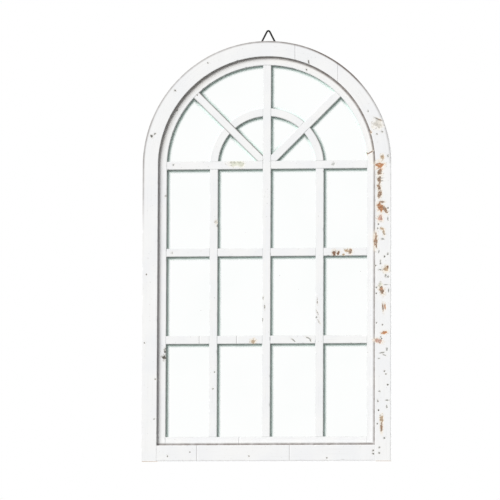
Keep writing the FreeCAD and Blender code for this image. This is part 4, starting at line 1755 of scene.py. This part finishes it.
@dataclass
class GlazingBars(Joinery):
    """Mullions, horizontal bars and the fan light's arch and spokes, halved where they cross."""

    arris: float = 1.1
    step: float = 2.0
    glue: float = 0.1
    spoke_angles: Pair = (45.0, 135.0)
    lower_cracks: tuple[float, ...] = (-163.9, -72.5)
    # Green painted shade on the bars' sides, and painted dark lines along the fan light's and the left
    # spoke's arrises
    grime: Grime = Grime(wash=SIDE_SHADE)
    fan_grime: Grime = Grime(
        low=Fade((30, 50, 80, 100), (0.0, 0.35, 0.2, 0.0)),
        high=Fade((0, 12, 30, 50, 75), (0.1, 0.5, 0.7, 0.35, 0.0)),
        wide=1.8,
        wash=SIDE_SHADE,
    )
    spoke_grime: Grime = Grime(low=Fade.even(0.9), high=Fade.even(0.5), wide=2.4, wash=SIDE_SHADE)

    @property
    def reach(self) -> float:
        """Half of the room that a crossing bar takes."""
        return self.layout.bar_half + self.glue

    def section(self, middle: float = 0.0) -> Section:
        """A bar's full section.

        Args:
            middle: Its middle, as a place across.

        Returns:
            The section.
        """
        half = self.layout.bar_half
        depths = (self.layout.y_sash, self.layout.y_glass)
        return Section.rounded((middle - half, middle + half), depths, self.arris, self.step)

    def circle(self, radius: float, base: float = 0.0) -> Stop:
        """Distance along a radial bar to a circle about the arch's centre, from a base."""
        return lambda across: base + np.sqrt(radius**2 - across**2)

    def build(self) -> None:
        """Build the bars."""
        lay = self.layout
        for name, x in (("left", -lay.pitch), ("center", 0.0), ("right", lay.pitch)):
            self.mullion(f"{name}_mullion", x)
        for name, height in zip(("transom_bar", "upper_bar", "lower_bar"), lay.rows):
            self.cross_bar(name, height)
        self.fan_arch()
        for name, angle in zip(("right_spoke", "left_spoke"), self.spoke_angles):
            self.spoke(name, angle)

    def mullion(self, name: str, x: float) -> None:
        """Build a mullion, halved at the back where it crosses other bars.

        Args:
            name: Its name.
            x: Its middle.
        """
        lay, whole, reach = self.layout, self.section(), self.reach
        crossed = whole.halved(lay.y_lap, Halving.BACK)
        run = Run([Station(lay.pane_floor)])
        rows = sorted(lay.rows) if x == 0 else sorted(lay.rows)[:-1]
        for row in rows:
            run.to(row - reach, whole).to(row + reach, crossed)
        if x == 0:
            run.to(self.circle(lay.pitch - reach, lay.spring), whole)
            run.to(self.circle(lay.pitch + reach, lay.spring), crossed)
            run.to(self.circle(lay.pane - self.glue, lay.spring), whole)
        else:
            run.to(lay.spring - lay.bar_half, whole)
        self.make(Timber(name, run, self.upright(x), self.step, lay.y_lap, grime=self.grime))

    def cross_bar(self, name: str, height: float) -> None:
        """Build a horizontal bar, halved at the front where mullions cross it.

        Args:
            name: Its name.
            height: Its middle.
        """
        lay, whole, reach = self.layout, self.section(), self.reach
        crossed = whole.halved(lay.y_lap, Halving.FRONT)
        top = height == max(lay.rows)

        def end(across: Array) -> Array:
            """Half of the bar's length on each line, shaped to the arch above the springing."""
            return np.sqrt(lay.pane**2 - np.where(top & (across > 0), across, 0.0) ** 2)

        run = Run([Station(lambda across: -end(across))])
        stops = [(0.0, True)] if top else [(x, True) for x in (-lay.pitch, 0.0, lay.pitch)]
        if height == min(lay.rows):
            stops += [(x, False) for x in self.lower_cracks]
        for x, crossing in sorted(stops):
            if crossing:
                run.to(x - reach, whole).to(x + reach, crossed)
            else:
                run.cracked(x, whole, self.hairline)
        run.to(end, whole)
        self.make(Timber(name, run, self.level(height), self.step, lay.y_lap, grime=self.grime))

    def fan_arch(self) -> None:
        """Build the fan light's arch, halved at the front where the radial bars cross it."""
        lay, half, reach = self.layout, self.layout.bar_half, self.reach
        whole = self.section(lay.pitch)
        crossed = whole.halved(lay.y_lap, Halving.FRONT)
        run = Run([Station(lambda radius: np.arcsin(half / radius))])
        for angle in sorted((*self.spoke_angles, 90.0)):
            turn = math.radians(angle)
            run.to(lambda radius, t=turn: t - np.arcsin(reach / radius), whole)
            run.to(lambda radius, t=turn: t + np.arcsin(reach / radius), crossed)
        run.to(lambda radius: math.pi - np.arcsin(half / radius), whole)
        bent = {"spring": lay.spring, "grime": self.fan_grime}
        self.make(Timber("fan_arch", run, self.round_arch(), self.step / lay.pitch, lay.y_lap, **bent))

    def spoke(self, name: str, angle: float) -> None:
        """Build a spoke, cut to the corner of the centre mullion and the transom.

        Args:
            name: Its name.
            angle: Its angle from +X.
        """
        lay, whole, reach = self.layout, self.section(), self.reach
        run = Run([Station(lambda across: math.sqrt(2) * reach + np.abs(across))])
        run.to(self.circle(lay.pitch - reach), whole)
        run.to(self.circle(lay.pitch + reach), whole.halved(lay.y_lap, Halving.BACK))
        run.to(self.circle(lay.pane - self.glue), whole)
        grime = self.spoke_grime if angle > 90 else self.grime
        self.make(Timber(name, run, self.radial(angle), self.step, lay.y_lap, grime=grime))


@dataclass(frozen=True)
class Screw:
    """A pan-head wood screw: its head's width and height, its shank's, and its cross recess."""

    name: str
    head: float
    height: float
    shank: float
    length: float
    ease: float = 0.25
    dome: tuple[float, float, int] = (8.0, 82.0, 8)
    slot_half: float = 0.07
    wing_half: float = 0.3
    recess: float = 1.2

    def loose(self) -> Thing:
        """Draw the screw, its head behind the origin.

        Returns:
            The screw, to be set on points and then removed.
        """
        head, shank, height = self.head / 2, self.shank / 2, self.height
        tip = [(0.0, -self.length), (shank, self.shank - self.length), (shank, 0.0)]
        rim = [(head - self.ease, 0.0), (head, self.ease)]
        turns = np.radians(np.linspace(*self.dome))
        dome = [(head * math.cos(turn), height * (0.5 + 0.5 * math.sin(turn))) for turn in turns]
        screw = placed(self.name, turned(self.name, [*tip, *rim, *dome, (0.0, height)]))
        slot, wing = self.slot_half * self.head, self.wing_half * self.head
        cross = bmesh.new()
        for half_x, half_z in ((slot, wing), (wing, slot)):
            place = Matrix.Translation((0.0, height * MM, 0.0))
            size = Matrix.Diagonal((2 * half_x * MM, 2 * self.recess * MM, 2 * half_z * MM, 1.0))
            bmesh.ops.create_cube(cross, size=1.0, matrix=place @ size)
        cutter = placed(f"{self.name}_recess", meshed(f"{self.name}_recess", cross))
        cut = screw.modifiers.new("recess", "BOOLEAN")
        cut.object, cut.solver, cut.use_self = cutter, "EXACT", True
        solid = evaluated(screw)
        screw.modifiers.clear()
        screw.data = solid
        bpy.data.objects.remove(cutter)
        return screw


@dataclass
class Fixings:
    """Screws, turn buttons and bumpers on the back, and the wire loop with its strap."""

    layout: Layout
    finishes: Finishes
    nodes: dict[str, Thing]
    button_width: float = 12.0
    button_thickness: float = 1.6
    button_gap: float = 0.2
    button_hole: float = 3.66
    button_soften: float = 0.3
    button_screw: Screw = Screw("button_screw", 7.0, 2.2, 3.5, 14.0)
    hanger_screw: Screw = Screw("hanger_screw", 6.0, 2.0, 3.0, 14.0)
    grip: float = 8.0
    arch_button_angle: float = 45.0
    ring_wire: float = 4.4
    ring_base: float = 45.0
    ring_height: float = 44.5
    ring_bend: float = 4.0
    bumper_width: float = 14.0
    bumper_height: float = 7.0
    bumper_round: float = 1.2
    bumper_ease: float = 0.3
    bumper_points: int = 48
    dimple: Pair = (2.6, 2.2)
    dimple_depth: float = 0.5
    seed: int = 7

    def set_out(self, fixing: Thing, places: Sequence[Vector], rule: Nodes, most: float) -> Mesh:
        """Set a fixing on points and remove the loose one.

        Args:
            fixing: The loose fixing.
            places: The points.
            rule: The tree that sets it.
            most: Largest turn, in radians.

        Returns:
            All of them as one mesh.
        """
        inputs = {"Fixing": fixing, "Most Turn": most, "Seed": self.seed}
        data = realised(points_mesh(f"{fixing.name}_feet", places), rule, inputs)
        bpy.data.objects.remove(fixing)
        return data

    def pivot(self, name: str) -> tuple[Vector, float, float]:
        """Where a turn button is pivoted.

        Args:
            name: The button's name.

        Returns:
            Its pivot on the frame's back, its heading from +X, and its distance to the board's edge.
        """
        lay = self.layout
        low, high = corners(name)
        sign = 1 if (low + high).x > 0 else -1
        middle = (lay.rabbet + lay.outer) / 2
        if name.startswith("rail"):
            return Vector(((low + high).x / 2, lay.y_back, lay.rabbet_floor / 2)), 90.0, lay.rabbet_floor / 2
        if name.startswith("stile"):
            pivot = Vector((sign * middle, lay.y_back, (low + high).z / 2))
            return pivot, 90.0 + 90.0 * sign, middle - lay.rabbet
        turn = math.radians(90 - self.arch_button_angle * sign)
        pivot = Vector((middle * math.cos(turn), lay.y_back, lay.spring + middle * math.sin(turn)))
        return pivot, math.degrees(turn) + 180.0, middle - lay.rabbet

    def button(self, name: str, rule: Nodes) -> Vector:
        """Build one turn button on its own body.

        Args:
            name: Name of its solid, which is its body's too.
            rule: The tree that draws it.

        Returns:
            The point under its screw's head.
        """
        pivot, heading, edge = self.pivot(name)
        sizes = {
            "Reach": edge + self.grip - self.button_width / 2,
            "Width": self.button_width,
            "Thickness": self.button_thickness,
            "Hole": self.button_hole,
        }
        inputs = {label: value * MM for label, value in sizes.items()}
        inputs["Material"] = self.finishes.zinc
        data = realised(bpy.data.meshes.new(name), rule, inputs, self.button_soften)
        c, s = math.cos(math.radians(heading)), math.sin(math.radians(heading))
        foot = (pivot + Vector((0.0, self.button_gap, 0.0))) * MM
        axes = ((c, s, 0.0, foot.x), (0.0, 0.0, 1.0, foot.y), (s, -c, 0.0, foot.z), (0.0, 0.0, 0.0, 1.0))
        data.transform(Matrix(axes))
        show(data, f"{name}_plate", self.finishes.zinc, [name], name)
        return pivot + Vector((0.0, 2 * self.button_gap + self.button_thickness, 0.0))

    def build(self) -> None:
        """Build the fixings."""
        black, zinc = self.finishes.black, self.finishes.zinc
        setter, plates = fixing_rule(), button_rule()
        feet = [self.button(name, plates) for name in sorted(self.nodes) if "_button_" in name]
        data = self.set_out(self.button_screw.loose(), feet, setter, math.pi)
        show(data, "button_screws_turned", zinc, ["button_screws"])
        low, high = corners("hanger_screws")
        depth, inset = high.y - self.hanger_screw.height, self.hanger_screw.head / 2
        feet = [Vector((x, depth, (low + high).z / 2)) for x in (low.x + inset, high.x - inset)]
        data = self.set_out(self.hanger_screw.loose(), feet, setter, math.pi)
        show(data, "hanger_screws_turned", black, ["hanger_screws"])
        self.bumpers(setter)
        carry(self.nodes["hanger_strap"], black)
        self.ring()

    def bumpers(self, setter: Nodes) -> None:
        """Build the wall bumpers.

        Args:
            setter: The tree that sets fixings on points.
        """
        radius, height, ease = self.bumper_width / 2, self.bumper_height, self.bumper_ease
        turns, bend = np.radians(range(0, 91, 15)), self.bumper_round
        rim = [(radius - bend + bend * math.cos(t), height - bend + bend * math.sin(t)) for t in turns]
        sunk = height - self.dimple_depth
        dimple = [(self.dimple[0], height), (self.dimple[1], sunk), (0.0, sunk)]
        profile = [(0.0, 0.0), (radius - ease, 0.0), (radius, ease), *rim, *dimple]
        loose = placed("bumper", turned("bumper", profile, self.bumper_points))
        low, high = corners("wall_bumpers")
        middle = (low + high).z / 2
        feet = [Vector((x, self.layout.y_back, middle)) for x in (low.x + radius, high.x - radius)]
        data = self.set_out(loose, feet, setter, 0.0)
        show(data, "wall_bumpers_moulded", self.finishes.rubber, ["wall_bumpers"])

    def ring(self) -> None:
        """Build the wire loop on its own body."""
        low, high = corners("hanger_ring")
        axis = Vector((0.0, (low.y + high.y) / 2, low.z + self.ring_wire / 2))
        half = Vector((self.ring_base / 2, 0.0, 0.0))
        bends = [axis + half, axis + Vector((0.0, 0.0, self.ring_height)), axis - half]
        inputs = {"Wire": self.ring_wire * MM, "Bend": self.ring_bend * MM, "Material": self.finishes.black}
        data = realised(points_mesh("ring_line", bends, True), wire_rule(), inputs)
        show(data, "hanger_ring_wire", self.finishes.black, ["hanger_ring"], "hanger_ring")


@dataclass
class Sheets:
    """Mirror sheet and backing board, and the dowels inside the arches' joints, whose solids stay."""

    finishes: Finishes
    nodes: dict[str, Thing]

    def build(self) -> None:
        """Dress the solids."""
        carry(self.nodes["mirror_glass"], self.finishes.silver)
        carry(self.nodes["backing_board"], self.finishes.board)
        for name in ("frame_dowels", "sash_dowels"):
            carry(self.nodes[name], self.finishes.wood)


@dataclass
class Studio:
    """White room, soft light from the upper left, a low fill from behind, and the camera."""

    azimuth: float = 6.0
    elevation: float = -6.0
    lean: float = 0.37
    lens: float = 400.0
    sensor: float = 36.0
    image: float = 500.0
    pixel: float = 2.457
    middle: Pair = (266.8, 250.6)
    target_height: float = 515.0
    clip: Pair = (100.0, 100000.0)
    floor_height: float = -1400.0
    floor_size: float = 30000.0
    ambient: float = 0.25
    key_from: tuple[float, float, float] = (-0.9, -1.0, 0.72)
    key_level: float = 0.755
    key_spread: float = 38.0
    fill_from: tuple[float, float, float] = (0.74, 0.8, -0.74)
    fill_level: float = 0.8
    fill_spread: float = 60.0

    def build(self) -> None:
        """Build the room, the lamps and the camera."""
        bpy.context.scene.view_settings.view_transform = "Standard"
        self.world()
        self.floor()
        self.lamp("key", self.key_from, self.key_level, self.key_spread)
        self.lamp("fill", self.fill_from, self.fill_level, self.fill_spread)
        self.camera()

    def world(self) -> None:
        """White to the camera and in reflections, a low even light on everything else."""
        world = bpy.data.worlds.new("white_room")
        bpy.context.scene.world = world
        world.use_nodes = True
        room = Tree(world.node_tree)
        path = room.add("ShaderNodeLightPath").outputs
        seen = room.sum("MAXIMUM", path["Is Glossy Ray"], path["Is Transmission Ray"])
        direct = room.sum("LESS_THAN", path["Diffuse Depth"], 0.5)
        white = room.sum("MAXIMUM", path["Is Camera Ray"], room.sum("MULTIPLY", seen, direct))
        level = room.out("ShaderNodeMapRange", {0: white, 3: self.ambient, 4: 1.0})
        light = room.out("ShaderNodeBackground", {"Color": (1.0, 1.0, 1.0, 1.0), "Strength": level})
        room.add("ShaderNodeOutputWorld", {"Surface": light})

    def floor(self) -> None:
        """Pale floor below the hanging mirror."""
        half = self.floor_size / 2 * MM
        data = bpy.data.meshes.new("floor")
        ends = [(-half, -half), (half, -half), (half, half), (-half, half)]
        data.from_pydata([(x, y, self.floor_height * MM) for x, y in ends], [], [(0, 1, 2, 3)])
        data.materials.append(PaleFloor().material())
        floor = placed("floor", data)
        floor.visible_diffuse = False
        floor.visible_shadow = False

    def lamp(self, name: str, origin: tuple[float, float, float], level: float, spread: float) -> None:
        """Hang a soft lamp far away.

        Args:
            name: Its name.
            origin: Where its light comes from.
            level: Its light on a surface that faces along the depth axis.
            spread: Its width as an angle.
        """
        towards = Vector(origin)
        data = bpy.data.lights.new(name, "SUN")
        data.energy = level * math.pi * towards.length / abs(origin[1])
        data.angle = math.radians(spread)
        placed(name, data).rotation_euler = towards.to_track_quat("Z", "Y").to_euler()

    def camera(self) -> None:
        """Stand the camera a little to the right of the mirror and below it, far away."""
        turn, rise = math.radians(self.azimuth), math.radians(self.elevation)
        back = Vector((math.sin(turn) * math.cos(rise), -math.cos(turn) * math.cos(rise), math.sin(rise)))
        right = Vector((math.cos(turn), math.sin(turn), 0.0))
        up = right.cross(-back)
        lean = self.lean * math.atan(math.sin(turn) * math.sin(rise))
        level = right * math.cos(lean) - up * math.sin(lean)
        upright = up * math.cos(lean) + right * math.sin(lean)
        view = Matrix((level, upright, back)).transposed()
        scale = self.pixel / math.cos(turn) * MM
        distance = scale * math.cos(turn) ** 2 * self.image * self.lens / self.sensor
        off = [(place - self.image / 2) * scale * math.cos(turn) ** 2 for place in self.middle]
        target = Vector((0.0, 0.0, self.target_height * MM)) - level * off[0] + upright * off[1]
        data = bpy.data.cameras.new("camera")
        data.lens, data.sensor_width, data.sensor_fit = self.lens, self.sensor, "HORIZONTAL"
        data.clip_start, data.clip_end = (distance_mm * MM for distance_mm in self.clip)
        camera = placed("camera", data)
        camera.matrix_world = Matrix.Translation(target + back * distance) @ view.to_4x4()
        bpy.context.scene.camera = camera


def main() -> None:
    """Build the mirror around its solids."""
    logging.basicConfig(level=logging.INFO, format="%(name)s %(message)s")
    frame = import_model()
    layout = Layout.read()
    finishes = Finishes.drawn(layout)
    joinery = {"layout": layout, "finishes": finishes, "wear": Wear(), "bend": bend_rule()}
    OuterFrame(**joinery).build()
    Sash(**joinery).build()
    GlazingBars(**joinery).build()
    Sheets(finishes, frame["nodes"]).build()
    Fixings(layout, finishes, frame["nodes"]).build()
    Studio().build()


if __name__ == "__main__":
    main()
